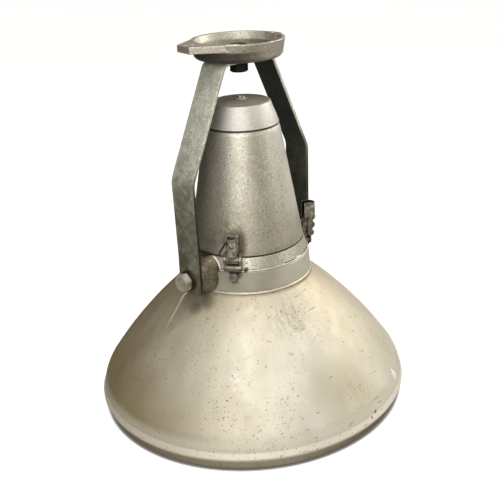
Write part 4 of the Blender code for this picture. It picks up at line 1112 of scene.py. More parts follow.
def enamel():
    """Aluminium-coloured stove paint on the bell: satin, yellowed, with pits, specks and dirt, and with painted
    shade, shadows and highlights.
    """
    t = Tree("aged_enamel")
    around = t.round_place(0.235, 1.0)
    x, y, z = t.split()
    slow = t.noise(5.0, 3, place=around)
    mottle = t.noise(26.0, 6, 0.6, place=around)
    fine = t.noise(420.0, 3, 0.6)
    tone = t.mix(t.range(mottle, 0.35, 0.68), (0.64, 0.605, 0.51), (0.72, 0.695, 0.61))
    tone = t.mix(t.math("MULTIPLY", t.range(slow, 0.42, 0.7), 0.35), tone, (0.50, 0.45, 0.33))
    # painted shade, brown and patchy, on the side turned left; below it painted shadow, painted shade and painted
    # highlights; grime in a belt below the neck; marks with painted shade on the skirt's edge
    left = t.facing(LEFT_BACK, -0.05, 0.78)
    patchy = t.range(t.noise(15.0, 6, 0.62, place=around), 0.32, 0.66, 0.65, 1.0)
    tone = t.mix(t.math("MULTIPLY", t.math("MULTIPLY", left, patchy), 0.90), tone, (0.24, 0.165, 0.06))
    # painted shadow on the bell under the left yoke end and boss
    yoke_end_shadow = t.math("MAXIMUM", spot_at(t, (-105, -19, 177), 19, 0.15), spot_at(t, (-116, -6, 170), 17, 0.2))
    yoke_end_shadow = t.math("MULTIPLY", yoke_end_shadow, t.range(mottle, 0.25, 0.55, 0.5, 1.0))
    tone = t.mix(t.math("MULTIPLY", yoke_end_shadow, 0.85), tone, (0.045, 0.035, 0.02))
    # painted shade, low on the bell's front right
    low_right_shade = t.math("MULTIPLY", spot_at(t, (-20, -205, 60), 75, 0.1), t.range(mottle, 0.3, 0.6, 0.4, 1.0))
    tone = t.mix(t.math("MULTIPLY", low_right_shade, 0.75), tone, (0.42, 0.37, 0.25))
    # painted shade low on the side turned left
    low_left_shade = t.math("MULTIPLY", t.facing(LEFT_BACK, -0.25, 0.45), t.range(z, 0.12, 0.04, smooth=True))
    tone = t.mix(t.math("MULTIPLY", low_left_shade, 0.6), tone, (0.34, 0.26, 0.13))
    wide = t.range(t.noise(7.0, 5, 0.6, place=t.vector("ADD", around, (1.3, 2.2, 0.4))), 0.44, 0.66)
    tone = t.mix(t.math("MULTIPLY", wide, 0.36), tone, (0.37, 0.31, 0.20))
    # painted shade, brownish, on the side turned right, above the rim
    right = t.math("MULTIPLY", t.facing(tuple(-c for c in LEFT_BACK), 0.45, 1.0), t.range(z, 0.08, 0.18))
    tone = t.mix(t.math("MULTIPLY", right, 0.75), tone, (0.50, 0.40, 0.22))
    neck = t.range(z, 0.135, 0.190, 0.0, 1.0, smooth=True)
    tone = t.mix(t.math("MULTIPLY", neck, t.range(mottle, 0.3, 0.6, 0.2, 0.55)), tone, (0.36, 0.30, 0.19))
    # painted highlight: the rim's upright skirt made pale
    skirt = t.math("MULTIPLY", t.range(z, 0.0272, 0.0264), t.range(z, 0.0150, 0.0160))
    tone = t.mix(t.math("MULTIPLY", skirt, 0.8), tone, (0.95, 0.91, 0.79))
    # painted highlight on the flare just above the crease
    crease = t.math("MULTIPLY", t.range(z, 0.0258, 0.0268), t.range(z, 0.044, 0.031, smooth=True))
    tone = t.mix(t.math("MULTIPLY", crease, 0.6), tone, (0.88, 0.83, 0.71))
    # painted light: the downward-facing band under the lip is set to one warm tan, lifting the shade it gets
    under = t.range(z, 0.0150, 0.0160, 1.0, 0.0)
    tone = t.mix(t.math("MULTIPLY", under, 0.85), tone, (0.66, 0.58, 0.42))
    # marks along the rim's lower edge, and painted shade where that edge turns away to the left and right
    ticks = t.range(t.noise(1.0, 5, 0.7, place=t.round_place(24.0, 70.0)), 0.58, 0.68)
    sides = t.math("MAXIMUM", left, t.facing(tuple(-c for c in LEFT_BACK), 0.35, 0.8))
    worn = t.math("MULTIPLY", t.range(z, 0.0168, 0.0148), t.math("MAXIMUM", ticks, sides))
    tone = t.mix(t.math("MULTIPLY", worn, 0.7), tone, (0.17, 0.11, 0.05))
    # clusters of brown specks, larger pits and a few rust spots
    cluster = t.range(t.noise(9.0, 4, 0.6, place=t.vector("ADD", around, (3.1, 0.2, 1.7))), 0.44, 0.62)
    cluster = t.math("MAXIMUM", cluster, spot_at(t, (-36, -122, 160), 55, 0.2))
    cluster = t.math("MAXIMUM", cluster, spot_at(t, (-7, -215, 55), 45, 0.2))
    small = t.math("MULTIPLY", speckles(t, 320.0, 0.38, keep=0.26), t.range(cluster, 0, 1, 0.04, 1.0))
    medium = t.math("MULTIPLY", speckles(t, 165.0, 0.25, keep=0.10), t.range(cluster, 0.2, 0.9, 0.12, 1.0))
    large = speckles(t, 60.0, 0.10, keep=0.07)
    marks = scratches(t, 34.0, 9.0, 0.40, (0.3, 0.5, 0.9), 0.045)
    marks = t.math("MAXIMUM", marks, scratches(t, 42.0, 8.0, 0.36, (1.2, 0.2, 2.1), 0.045))
    dark = t.math("MAXIMUM", t.math("MULTIPLY", small, 0.75), t.math("MULTIPLY", medium, 0.9))
    dark = t.math("MAXIMUM", dark, large)
    tone = t.mix(t.math("MULTIPLY", dark, 0.9), tone, (0.17, 0.10, 0.035))
    tone = t.mix(t.math("MULTIPLY", marks, 0.65), tone, (0.20, 0.15, 0.08))
    stain = spot_at(t, (-42, -122, 160), 44, 0.1)
    stain = t.math("MULTIPLY", stain, t.range(t.noise(90.0, 6, 0.68, place=around), 0.42, 0.60))
    tone = t.mix(t.math("MULTIPLY", stain, 0.6), tone, (0.30, 0.23, 0.12))
    smear = t.math("MAXIMUM", spot_at(t, (-141, -108, 103), 10, 0.3, (1, 1, 0.45)),
                   spot_at(t, (-148, -112, 93), 6, 0.3))
    smear = t.math("MULTIPLY", smear, t.range(t.noise(180.0, 4), 0.45, 0.62))
    # a plain pale patch, a rhombus on its point
    away = t.vector("SUBTRACT", t.place, (0.090, -0.205, 0.040))
    along = t.math("ABSOLUTE", t.vector("DOT_PRODUCT", away, (0.915, 0.402, 0.0)))
    rise = t.math("ABSOLUTE", t.math("SUBTRACT", z, 0.040))
    spread = t.math("ADD", t.math("DIVIDE", along, 0.0085), t.math("DIVIDE", rise, 0.0105))
    label = t.range(spread, 0.9, 1.0, 1.0, 0.0)
    tone = t.mix(t.math("MAXIMUM", t.math("MULTIPLY", smear, 0.4), label), tone, (0.86, 0.86, 0.87))
    rust = t.math("MAXIMUM", spot_at(t, (12, -231, 28), 3.4, 0.3), spot_at(t, (2, -233, 24), 2.6, 0.3))
    tone = t.mix(rust, tone, (0.24, 0.12, 0.03))
    height = t.math("SUBTRACT", t.math("MULTIPLY", fine, 0.16), t.math("MULTIPLY", dark, 0.6))
    height = t.math("SUBTRACT", height, t.math("MULTIPLY", marks, 0.4))
    height = t.math("ADD", height, t.math("MULTIPLY", mottle, 0.35))
    rough = t.range(t.noise(60.0, 5, 0.6), 0.3, 0.7, 0.48, 0.60)
    rough = t.math("ADD", rough, t.math("MULTIPLY", dark, 0.3), clamp=True)
    return t.finish(tone, rough, t.math("SUBTRACT", 0.50, t.math("MULTIPLY", dark, 0.5), clamp=True),
                    t.bump(height, 0.5, 0.0004), Specular_IOR_Level=0.3)


def brushed(name, colour, rough, scale=90.0, contrast=0.12, metallic=1.0, tint=None):
    """Plain metal with faint mottling; shared by the small fittings."""
    t = Tree(name)
    cloud = t.noise(scale, 5, 0.6)
    fine = t.noise(scale * 9, 2)
    low = tuple(c * (1 - contrast * 2) for c in colour)
    tone = t.mix(t.range(cloud, 0.35, 0.65), low, colour)
    if tint:
        tone = t.mix(t.math("MULTIPLY", t.range(t.noise(scale * 0.4, 4, 0.6), 0.48, 0.7), 0.7), tone, tint)
    height = t.math("ADD", t.math("MULTIPLY", cloud, 0.5), t.math("MULTIPLY", fine, 0.3))
    shine = t.range(cloud, 0.3, 0.7, rough - 0.07, rough + 0.10)
    return t.finish(tone, shine, metallic, t.bump(height, 0.35, 0.0003))


def sand_cast(name, light, dark, rough, grain, metallic=0.75, stain=(0.27, 0.22, 0.13), stains=0.5):
    """Aluminium cast in sand: pale grains with painted glints, dark pores, stains, smoother worn places."""
    t = Tree(name)
    grains = t.noise(grain, 3, 0.7)
    pores = speckles(t, grain * 0.42, 0.30, keep=0.22)
    # pale grains, and painted glints on them
    pale_grains_and_glints = speckles(t, grain * 0.6, 0.34, place=t.vector("ADD", t.place, (0.3, 0.1, 0.2)), keep=0.16)
    cloud = t.noise(22.0, 5, 0.6)
    tone = t.mix(t.range(grains, 0.38, 0.62), dark, light)
    tone = t.mix(t.math("MULTIPLY", t.range(cloud, 0.4, 0.68), 0.3), tone, tuple(c * 0.72 for c in light))
    patch = t.range(t.noise(13.0, 6, 0.62, distort=0.6), 0.52, 0.72)
    tone = t.mix(t.math("MULTIPLY", patch, stains), tone, stain)
    tone = t.mix(t.math("MULTIPLY", pores, 0.6), tone, tuple(c * 0.25 for c in dark))
    tone = t.mix(t.math("MULTIPLY", pale_grains_and_glints, 0.55), tone, (0.88, 0.86, 0.80))
    rust = t.math("MULTIPLY", speckles(t, 30.0, 0.10, keep=0.14), t.range(grains, 0.3, 0.6))
    tone = t.mix(t.math("MULTIPLY", rust, 0.8), tone, (0.20, 0.10, 0.035))
    height = t.math("ADD", t.math("MULTIPLY", grains, 1.0), t.math("MULTIPLY", cloud, 0.4))
    height = t.math("SUBTRACT", height, t.math("MULTIPLY", pores, 0.8))
    return t, tone, t.range(cloud, 0.3, 0.7, rough - 0.05, rough + 0.08), metallic, height


def body_cast():
    t, tone, rough, metallic, height = sand_cast("body_cast", (0.73, 0.70, 0.605), (0.43, 0.405, 0.335),
                                                 0.46, 430.0, 0.80, stains=0.40)
    x, y, z = t.split()
    seams = t.math("MAXIMUM", t.range(z, 0.2436, 0.2446, 1.0, 0.0), t.range(z, 0.4194, 0.4204))
    tone = t.mix(t.math("MULTIPLY", seams, 0.85), tone, (0.02, 0.017, 0.012))
    # painted shade on the side turned left and back
    turned = t.math("MULTIPLY", t.facing(LEFT_BACK, 0.45, 0.95), 0.75)
    tone = t.mix(turned, tone, (0.09, 0.08, 0.055))
    # painted highlight on the faces turned front right
    bright = t.facing((0.62, -0.78, 0.0), 0.80, 0.97)
    tone = t.mix(t.math("MULTIPLY", bright, 0.6), tone, (0.95, 0.93, 0.84))
    # painted light: the housing paler towards its top
    upper = t.range(z, 0.33, 0.42, 0.0, 1.0, smooth=True)
    tone = t.mix(t.math("MULTIPLY", upper, 0.1), tone, (0.86, 0.85, 0.79))
    # patina rises from the seam, mostly on the right, and gathers by the first latch, where a painted shadow also
    # falls beside the lever
    low = t.range(z, 0.243, 0.345, 1.0, 0.0, smooth=True)
    right = t.facing((0.30, -0.95, 0.0), 0.0, 0.9)
    wet = t.math("MULTIPLY", t.math("MULTIPLY", low, t.range(right, 0.0, 1.0, 0.35, 1.0)),
                 t.range(t.noise(20.0, 5), 0.3, 0.65, 0.3, 1.0))
    tone = t.mix(t.math("MULTIPLY", wet, 0.55), tone, (0.30, 0.255, 0.165))
    shadow = spot_at(t, (-66, -53, 266), 13, 0.3, (1, 1, 0.42))
    tone = t.mix(t.math("MULTIPLY", shadow, 0.8), tone, (0.05, 0.042, 0.028))
    latch = spot_at(t, (-74, -40, 266), 40, 0.2, (1, 1, 0.8))
    latch = t.math("MULTIPLY", latch, t.range(t.noise(70.0, 5, 0.65), 0.40, 0.62))
    tone = t.mix(t.math("MULTIPLY", latch, 0.75), tone, (0.16, 0.125, 0.06))
    return t.finish(tone, rough, metallic, t.bump(height, 0.55, 0.00035))


def ring_cast():
    t, tone, rough, metallic, height = sand_cast("ring_cast", (0.70, 0.67, 0.565), (0.42, 0.40, 0.325),
                                                 0.44, 400.0, 0.72, stains=0.42)
    x, y, z = t.split()
    tone = t.mix(t.math("MULTIPLY", t.range(z, 0.2413, 0.2421), 0.85), tone, (0.02, 0.017, 0.012))
    # painted shade in the crease above the ring's lip, along the joint with the collar
    joint_shade = t.range(t.math("ABSOLUTE", t.math("SUBTRACT", z, 0.2256)), 0.0005, 0.0010, 1.0, 0.0)
    joint_shade = t.math("MULTIPLY", joint_shade, t.range(t.noise(40.0, 4), 0.35, 0.6, 0.35, 0.9))
    tone = t.mix(joint_shade, tone, (0.05, 0.042, 0.028))
    # painted highlight along the ring's lower lip
    lip = t.range(z, 0.2248, 0.2245)
    tone = t.mix(t.math("MULTIPLY", lip, 0.95), tone, (1.0, 0.97, 0.88))
    # painted shade round the small tab by the first latch
    tab_shade = spot_at(t, (-69.0, -64.5, 226.5), 5, 0.5)
    tone = t.mix(t.math("MULTIPLY", tab_shade, 0.8), tone, (0.06, 0.05, 0.035))
    # the two bosses carry old oil and dirt; x is measured along the tilt axis
    along = t.math("ABSOLUTE", x)
    boss = t.range(along, 0.0835, 0.0885, 0.0, 1.0, smooth=True)
    across = t.vector("LENGTH", t.join(0.0, y, t.math("SUBTRACT", z, 0.2122)))
    root = t.math("ADD", 0.0600, t.math("MULTIPLY", along, -0.3148))
    on_boss = t.math("MULTIPLY", boss, t.range(t.math("SUBTRACT", across, root), 0.0, 0.0006, 1.0, 0.0))
    oil = t.range(t.noise(75.0, 6, 0.62, distort=0.8), 0.36, 0.66)
    oily = t.mix(oil, (0.055, 0.047, 0.03), (0.22, 0.18, 0.115))
    scuffs = scratches(t, 70.0, 6.0, 0.34, (0.2, 0.9, 0.4), 0.12)
    oily = t.mix(t.math("MULTIPLY", scuffs, 0.6), oily, (0.58, 0.54, 0.44))
    tone = t.mix(t.math("MULTIPLY", on_boss, 0.93), tone, oily)
    return t.finish(tone, rough, metallic, t.bump(height, 0.5, 0.0004))


def plate_cast():
    t, tone, rough, metallic, height = sand_cast("plate_cast", (0.60, 0.57, 0.485), (0.37, 0.345, 0.285),
                                                 0.48, 400.0, 0.68, stains=0.5)
    x, y, z = t.split()
    away = t.vector("LENGTH", t.join(x, y, 0.0))
    brown = t.math("MULTIPLY", spot_at(t, (66, -14, 549), 26, 0.2, (1, 1, 1.4)),
                   t.range(t.noise(60.0, 5, 0.6), 0.40, 0.6))
    tone = t.mix(t.math("MULTIPLY", brown, 0.75), tone, (0.22, 0.15, 0.08))
    shade = t.math("MULTIPLY", t.range(z, 0.5395, 0.5375), t.facing((-0.98, -0.17, -0.3), 0.35, 0.85))
    tone = t.mix(t.math("MULTIPLY", shade, 0.85), tone, (0.03, 0.027, 0.02))
    # painted shade on the faces turned down
    bottom = t.facing((0, 0, -1), 0.6, 0.95)
    tone = t.mix(t.math("MULTIPLY", bottom, 0.75), tone, (0.04, 0.036, 0.03))
    # painted shade inside the dish, below its rim
    inside = t.math("MULTIPLY", t.range(away, 0.058, 0.066, 1.0, 0.0), t.range(z, 0.5278, 0.5290))
    tone = t.mix(t.math("MULTIPLY", inside, 0.5), tone, (0.34, 0.315, 0.265))
    return t.finish(tone, rough, metallic, t.bump(height, 0.6, 0.0005))


def satin_cap():
    """Turned aluminium: bright satin flank with fine lathe lines, brown-grey stained top."""
    t = Tree("satin_cast")
    x, y, z = t.split()
    lines = t.noise(1.0, 3, 0.7, place=t.round_place(3.0, 2600.0))
    cloud = t.noise(60.0, 5, 0.6)
    tone = t.mix(t.range(cloud, 0.35, 0.65), (0.60, 0.585, 0.54), (0.70, 0.685, 0.64))
    specks = speckles(t, 340.0, 0.26, keep=0.12)
    tone = t.mix(t.math("MULTIPLY", specks, 0.6), tone, (0.22, 0.20, 0.16))
    top = t.range(z, 0.4553, 0.4562)
    stain = t.mix(t.range(t.noise(45.0, 6, 0.62, distort=0.7), 0.35, 0.65), (0.30, 0.265, 0.21),
                  (0.46, 0.415, 0.34))
    stain = t.mix(t.math("MULTIPLY", speckles(t, 200.0, 0.24, keep=0.08), 0.7), stain, (0.6, 0.57, 0.5))
    tone = t.mix(top, tone, stain)
    grains = t.noise(480.0, 3, 0.7)
    tone = t.mix(t.math("MULTIPLY", t.range(grains, 0.40, 0.60, 1.0, 0.0), 0.35), tone, (0.38, 0.375, 0.34))
    seam = t.range(z, 0.4230, 0.4238, 1.0, 0.0)
    tone = t.mix(t.math("MULTIPLY", seam, 0.9), tone, (0.015, 0.013, 0.01))
    rough = t.mix(top, t.range(cloud, 0.3, 0.7, 0.52, 0.60), 0.5)
    height = t.math("ADD", t.math("MULTIPLY", lines, 0.3), t.math("MULTIPLY", grains, 0.8))
    return t.finish(tone, rough, t.mix(top, 0.72, 0.4), t.bump(height, 0.45, 0.0004))


def grey_paint():
    t = Tree("grey_paint")
    cloud = t.noise(34.0, 4, 0.55)
    fine = t.noise(500.0, 2)
    tone = t.mix(t.range(cloud, 0.35, 0.65), (0.37, 0.345, 0.275), (0.46, 0.43, 0.35))
    specks = speckles(t, 130.0, 0.16, keep=0.08)
    tone = t.mix(t.math("MULTIPLY", specks, 0.7), tone, (0.14, 0.10, 0.06))
    x, y, z = t.split()
    # painted highlight along the bead at the collar's foot
    bead = t.range(z, 0.1930, 0.1920)
    tone = t.mix(t.math("MULTIPLY", bead, 0.55), tone, (0.82, 0.78, 0.68))
    dirt = t.math("MULTIPLY", t.range(z, 0.1955, 0.1930), t.range(t.noise(70.0, 5, 0.6), 0.45, 0.6))
    dirt = t.math("MULTIPLY", dirt, t.range(z, 0.1915, 0.1925))
    tone = t.mix(t.math("MULTIPLY", dirt, 0.7), tone, (0.16, 0.12, 0.06))
    # painted shade along the collar's top edge, under the ring
    tone = t.mix(t.range(z, 0.2204, 0.2212, 0.0, 0.7), tone, (0.24, 0.225, 0.18))
    shadow = spot_at(t, (-78.6, -55.1, 220), 12, 0.35, (1, 1, 1.2))
    tone = t.mix(t.math("MULTIPLY", shadow, 0.75), tone, (0.05, 0.045, 0.03))
    # painted highlight on the side turned right
    right = t.facing((0.45, -0.9, 0.0), 0.55, 1.0)
    tone = t.mix(t.math("MULTIPLY", right, 0.5), tone, (0.74, 0.71, 0.61))
    low = t.math("MULTIPLY", t.range(z, 0.205, 0.193), t.range(cloud, 0.4, 0.6, 0.2, 0.7))
    tone = t.mix(t.math("MULTIPLY", low, 0.5), tone, (0.40, 0.36, 0.27))
    height = t.math("ADD", t.math("MULTIPLY", fine, 0.25), t.math("MULTIPLY", cloud, 0.3))
    return t.finish(tone, t.range(cloud, 0.3, 0.7, 0.40, 0.52), 0.35, t.bump(height, 0.3, 0.0003))


def galvanised():
    """Hot-dip zinc gone dull green-grey: spangle, pale bloom, brown grime low down, dark inner face."""
    t = Tree("galvanised")
    x, y, z = t.split()
    spangle = t.split(t.cells(150.0, t.vector("ADD", t.place, t.vector("SCALE", t.place, (0, 0, 0))),
                              output="Color"))[0]
    cloud = t.noise(26.0, 6, 0.62, distort=0.5)
    fine = t.noise(330.0, 4, 0.65)
    tone = t.mix(t.range(cloud, 0.36, 0.64), (0.20, 0.20, 0.145), (0.50, 0.50, 0.42))
    # painted light: the arms paler towards their tops
    tone = t.mix(t.math("MULTIPLY", t.range(z, 0.28, 0.42, 0.0, 1.0, smooth=True), 0.9), tone, (0.86, 0.86, 0.74))
    tone = t.mix(t.math("MULTIPLY", spangle, 0.22), tone, (0.50, 0.51, 0.44))
    tone = t.mix(t.range(fine, 0.40, 0.62, 0.35, 0.0), tone, (0.12, 0.12, 0.085))
    bloom = t.range(t.noise(55.0, 5, 0.6, place=t.vector("ADD", t.place, (0.7, 0.2, 0.4))), 0.56, 0.72)
    tone = t.mix(t.math("MULTIPLY", bloom, 0.6), tone, (0.62, 0.65, 0.61))
    blotch = t.range(t.noise(62.0, 6, 0.7, place=t.vector("ADD", t.place, (0.2, 0.5, 0.9))), 0.44, 0.60)
    tone = t.mix(t.math("MULTIPLY", blotch, t.range(z, 0.46, 0.32, 0.25, 0.6)), tone, (0.12, 0.115, 0.07))
    low = t.range(z, 0.36, 0.22, 0.0, 1.0, smooth=True)
    grime = t.math("MULTIPLY", low, t.range(t.noise(30.0, 6, 0.65), 0.36, 0.62))
    tone = t.mix(t.math("MULTIPLY", grime, 0.75), tone, (0.13, 0.105, 0.05))
    # painted shade on the narrow side faces of the lower arms
    edge_face_shade = t.math("ABSOLUTE", t.split(t.node("ShaderNodeNewGeometry").outputs["True Normal"])[1])
    edge_face_shade = t.math("MULTIPLY", t.range(edge_face_shade, 0.6, 0.8), t.range(z, 0.40, 0.34))
    tone = t.mix(t.math("MULTIPLY", edge_face_shade, 0.92), tone, (0.025, 0.025, 0.016))
    # the inner faces are painted near-black green, a little less dark low down
    inner = t.facing((1, 0, 0), -0.2, 0.2)
    side = t.range(x, -0.001, 0.001)
    facing_in = t.mix(side, inner, t.math("SUBTRACT", 1.0, inner))
    off_edge = t.math("ABSOLUTE", t.split(t.node("ShaderNodeNewGeometry").outputs["True Normal"])[1])
    facing_in = t.math("MULTIPLY", facing_in, t.range(off_edge, 0.3, 0.75, 1.0, 0.0))
    tone = t.mix(t.math("MULTIPLY", facing_in, t.range(z, 0.40, 0.30, 0.95, 0.74)), tone, (0.008, 0.016, 0.0145))
    scar = spot_at(t, (-121, -3.5, 247.5), 5.5, 0.2, (1, 1.7, 0.9))
    scar = t.math("MULTIPLY", scar, scratches(t, 110.0, 4.0, 0.5, (0.5, 0.1, 0.4), 0.6))
    tone = t.mix(scar, tone, (0.85, 0.80, 0.66))
    edge = t.range(t.edge_wear(0.0009), 0.02, 0.12)
    tone = t.mix(t.math("MULTIPLY", edge, 0.55), tone, (0.09, 0.09, 0.06))
    height = t.math("ADD", t.math("MULTIPLY", fine, 0.6), t.math("MULTIPLY", cloud, 0.8))
    height = t.math("ADD", height, t.math("MULTIPLY", spangle, 0.15))
    rough = t.range(fine, 0.3, 0.7, 0.42, 0.60)
    return t.finish(tone, rough, 0.55, t.bump(height, 0.5, 0.0005))


def worn_zinc(name, light, dark, streak):
    """Zinc-plated pressings: bright worn metal broken by dark stains, and painted shade darkening the hollows."""
    t = Tree(name)
    cloud = t.noise(130.0, 6, 0.66, distort=0.9)
    veins = t.noise(1.0, 4, 0.6, place=t.stretched((260.0, 260.0, 110.0)))
    tone = t.mix(t.range(cloud, 0.36, 0.62), dark, light)
    tone = t.mix(t.math("MULTIPLY", t.range(veins, 0.50, 0.66), streak), tone, (0.10, 0.085, 0.06))
    # painted shade: occlusion darkens the hollows and the gaps between parts
    open_air = t.crevice(0.006)
    tone = t.mix(t.range(open_air, 0.75, 0.25, 0.0, 0.75), tone, (0.05, 0.04, 0.025))
    edge = t.range(t.edge_wear(0.0006), 0.02, 0.12)
    tone = t.mix(t.math("MULTIPLY", edge, 0.5), tone, (0.78, 0.75, 0.66))
    height = t.math("ADD", t.math("MULTIPLY", cloud, 0.8), t.math("MULTIPLY", veins, 0.5))
    return t.finish(tone, t.range(cloud, 0.3, 0.7, 0.50, 0.34), 0.8, t.bump(height, 0.5, 0.0004))


def clear_glass():
    t = Tree("clear_glass")
    dust = t.range(t.noise(55.0, 5, 0.6), 0.45, 0.75, 0.0, 0.05)
    tone = t.mix(0.0, (0.90, 0.97, 0.95), (0.90, 0.97, 0.95))
    made = t.finish(tone, dust, 0.0)
    t.shader.inputs["Transmission Weight"].default_value = 1.0
    t.shader.inputs["IOR"].default_value = 1.5
    return made


def mirror(name, stained=False):
    t = Tree(name)
    cloud = t.noise(30.0, 4, 0.55)
    tone = t.mix(t.range(cloud, 0.35, 0.65), (0.80, 0.83, 0.85), (0.88, 0.90, 0.91))
    haze = t.range(t.noise(14.0, 5, 0.6), 0.35, 0.75, 0.05, 0.14)
    if stained:
        # a rust-yellow run below the neck, where water once came in
        x, y, z = t.split()
        drip = t.math("MULTIPLY", spot_at(t, (-80, -62, 172), 34, 0.3, (1, 1, 0.5)),
                      t.range(t.noise(1.0, 4, 0.6, place=t.stretched((170.0, 170.0, 40.0))), 0.47, 0.56))
        tone = t.mix(drip, tone, (0.38, 0.22, 0.05))
        haze = t.math("ADD", haze, t.math("MULTIPLY", drip, 0.5), clamp=True)
    waves = t.noise(1.0, 2, 0.5, place=t.round_place(1.2, 28.0))
    return t.finish(tone, haze, 1.0, t.bump(waves, 0.12, 0.002))


def rubber(name, ribs):
    t = Tree(name)
    cloud = t.noise(70.0, 5, 0.6)
    tone = t.mix(t.range(cloud, 0.35, 0.65), (0.018, 0.015, 0.012), (0.05, 0.042, 0.032))
    if ribs:
        dust = t.range(t.noise(160.0, 4, 0.6), 0.5, 0.7)
        tone = t.mix(t.math("MULTIPLY", dust, 0.5), tone, (0.15, 0.115, 0.07))
    fine = t.noise(900.0, 2)
    height = t.math("ADD", t.math("MULTIPLY", fine, 0.5), cloud)
    return t.finish(tone, t.range(cloud, 0.3, 0.7, 0.55, 0.75), 0.0, t.bump(height, 0.4, 0.0003))


def porcelain():
    t = Tree("porcelain")
    cloud = t.noise(40.0, 4, 0.55)
    tone = t.mix(t.range(cloud, 0.35, 0.65), (0.66, 0.63, 0.56), (0.76, 0.74, 0.69))
    specks = speckles(t, 240.0, 0.18, keep=0.08)
    tone = t.mix(t.math("MULTIPLY", specks, 0.6), tone, (0.25, 0.19, 0.12))
    return t.finish(tone, t.range(cloud, 0.3, 0.7, 0.18, 0.30), 0.0, t.bump(cloud, 0.15, 0.0005))


def insulation():
    t = Tree("wire_insulation")
    weave = t.noise(1.0, 2, 0.5, place=t.stretched((900.0, 900.0, 900.0)))
    cloud = t.noise(80.0, 4)
    tone = t.mix(t.range(cloud, 0.35, 0.65), (0.36, 0.075, 0.045), (0.48, 0.12, 0.07))
    return t.finish(tone, t.range(weave, 0.3, 0.7, 0.45, 0.65), 0.0, t.bump(weave, 0.5, 0.0003))


def make_materials():
    return {
        "enamel": enamel(),
        "inner_mirror": mirror("polished_bell", True),
        "mirror": mirror("polished_sheet"),
        "glass": clear_glass(),
        "gasket": rubber("gasket_rubber", True),
        "rubber": rubber("seal_rubber", False),
        "grey_paint": grey_paint(),
        "body_cast": body_cast(),
        "ring_cast": ring_cast(),
        "plate_cast": plate_cast(),
        "satin_cast": satin_cap(),
        "galvanised": galvanised(),
        "galvanised_inside": brushed("bracket_zinc", (0.50, 0.50, 0.45), 0.42, 60.0, 0.15),
        "zinc": worn_zinc("worn_zinc", (0.36, 0.325, 0.26), (0.17, 0.145, 0.105), 0.35),
        # a paler copy of the latch zinc for the levers; their pale tone is partly a painted highlight
        "lever_zinc_highlight": worn_zinc("lever_zinc_highlight", (0.72, 0.69, 0.60), (0.12, 0.10, 0.065), 0.85),
        # a pale copy of the cast metal for the bosses' root beads: a painted highlight along that fillet
        "bead_cast_highlight": brushed("bead_cast_highlight", (0.90, 0.87, 0.78), 0.5, 120.0, 0.05, 0.2),
        "bolt_steel": brushed("bolt_steel", (0.62, 0.58, 0.49), 0.5, 110.0, 0.10, 0.6, (0.22, 0.17, 0.09)),
        "wire_steel": brushed("wire_steel", (0.52, 0.49, 0.41), 0.5, 150.0, 0.12, 0.4, (0.40, 0.33, 0.22)),
        "bright_steel": brushed("bright_steel", (0.62, 0.61, 0.57), 0.34, 120.0, 0.10),
        # dark steel for washers and the plate bolt, also used as painted shade on the latch bails
        "dark_steel": brushed("dark_steel", (0.075, 0.075, 0.06), 0.46, 120.0, 0.15, 0.8, (0.10, 0.07, 0.04)),
        # near-black steel for the nut and wire, also used as painted shade inside the lever channels
        "black_steel_and_shade": brushed("black_steel_and_shade", (0.018, 0.018, 0.016), 0.42, 120.0, 0.15, 0.6),
        "brass": brushed("nickelled_brass", (0.62, 0.53, 0.34), 0.28, 90.0, 0.12),
        "ceramic": porcelain(),
        "insulation": insulation(),
    }


# ---------------------------------------------------------------- stage, lights and camera

EYE = Vector((-871.2, -891.2, 743.6)) * MM
ENLARGE = 1.1


def softbox(name, bearing, elevation, distance, width, height, watts, colour=(1, 1, 1), aim=(0, 0, 0.25)):
    """An area light; bearing is degrees to the right of the line from the lamp to the camera."""
    turn = math.radians(bearing)
    lift = math.radians(elevation)
    flat = RIGHT * math.sin(turn) - AHEAD * math.cos(turn)
    place = Vector(aim) + (flat * math.cos(lift) + Vector((0, 0, math.sin(lift)))) * distance
    light = bpy.data.lights.new(name, "AREA")
    light.shape = "RECTANGLE"
    light.size = width
    light.size_y = height
    light.energy = watts
    light.color = colour
    obj = bpy.data.objects.new(name, light)
    bpy.context.scene.collection.objects.link(obj)
    obj.location = place
    obj.rotation_euler = (Vector(aim) - place).to_track_quat("-Z", "Y").to_euler()
    return obj


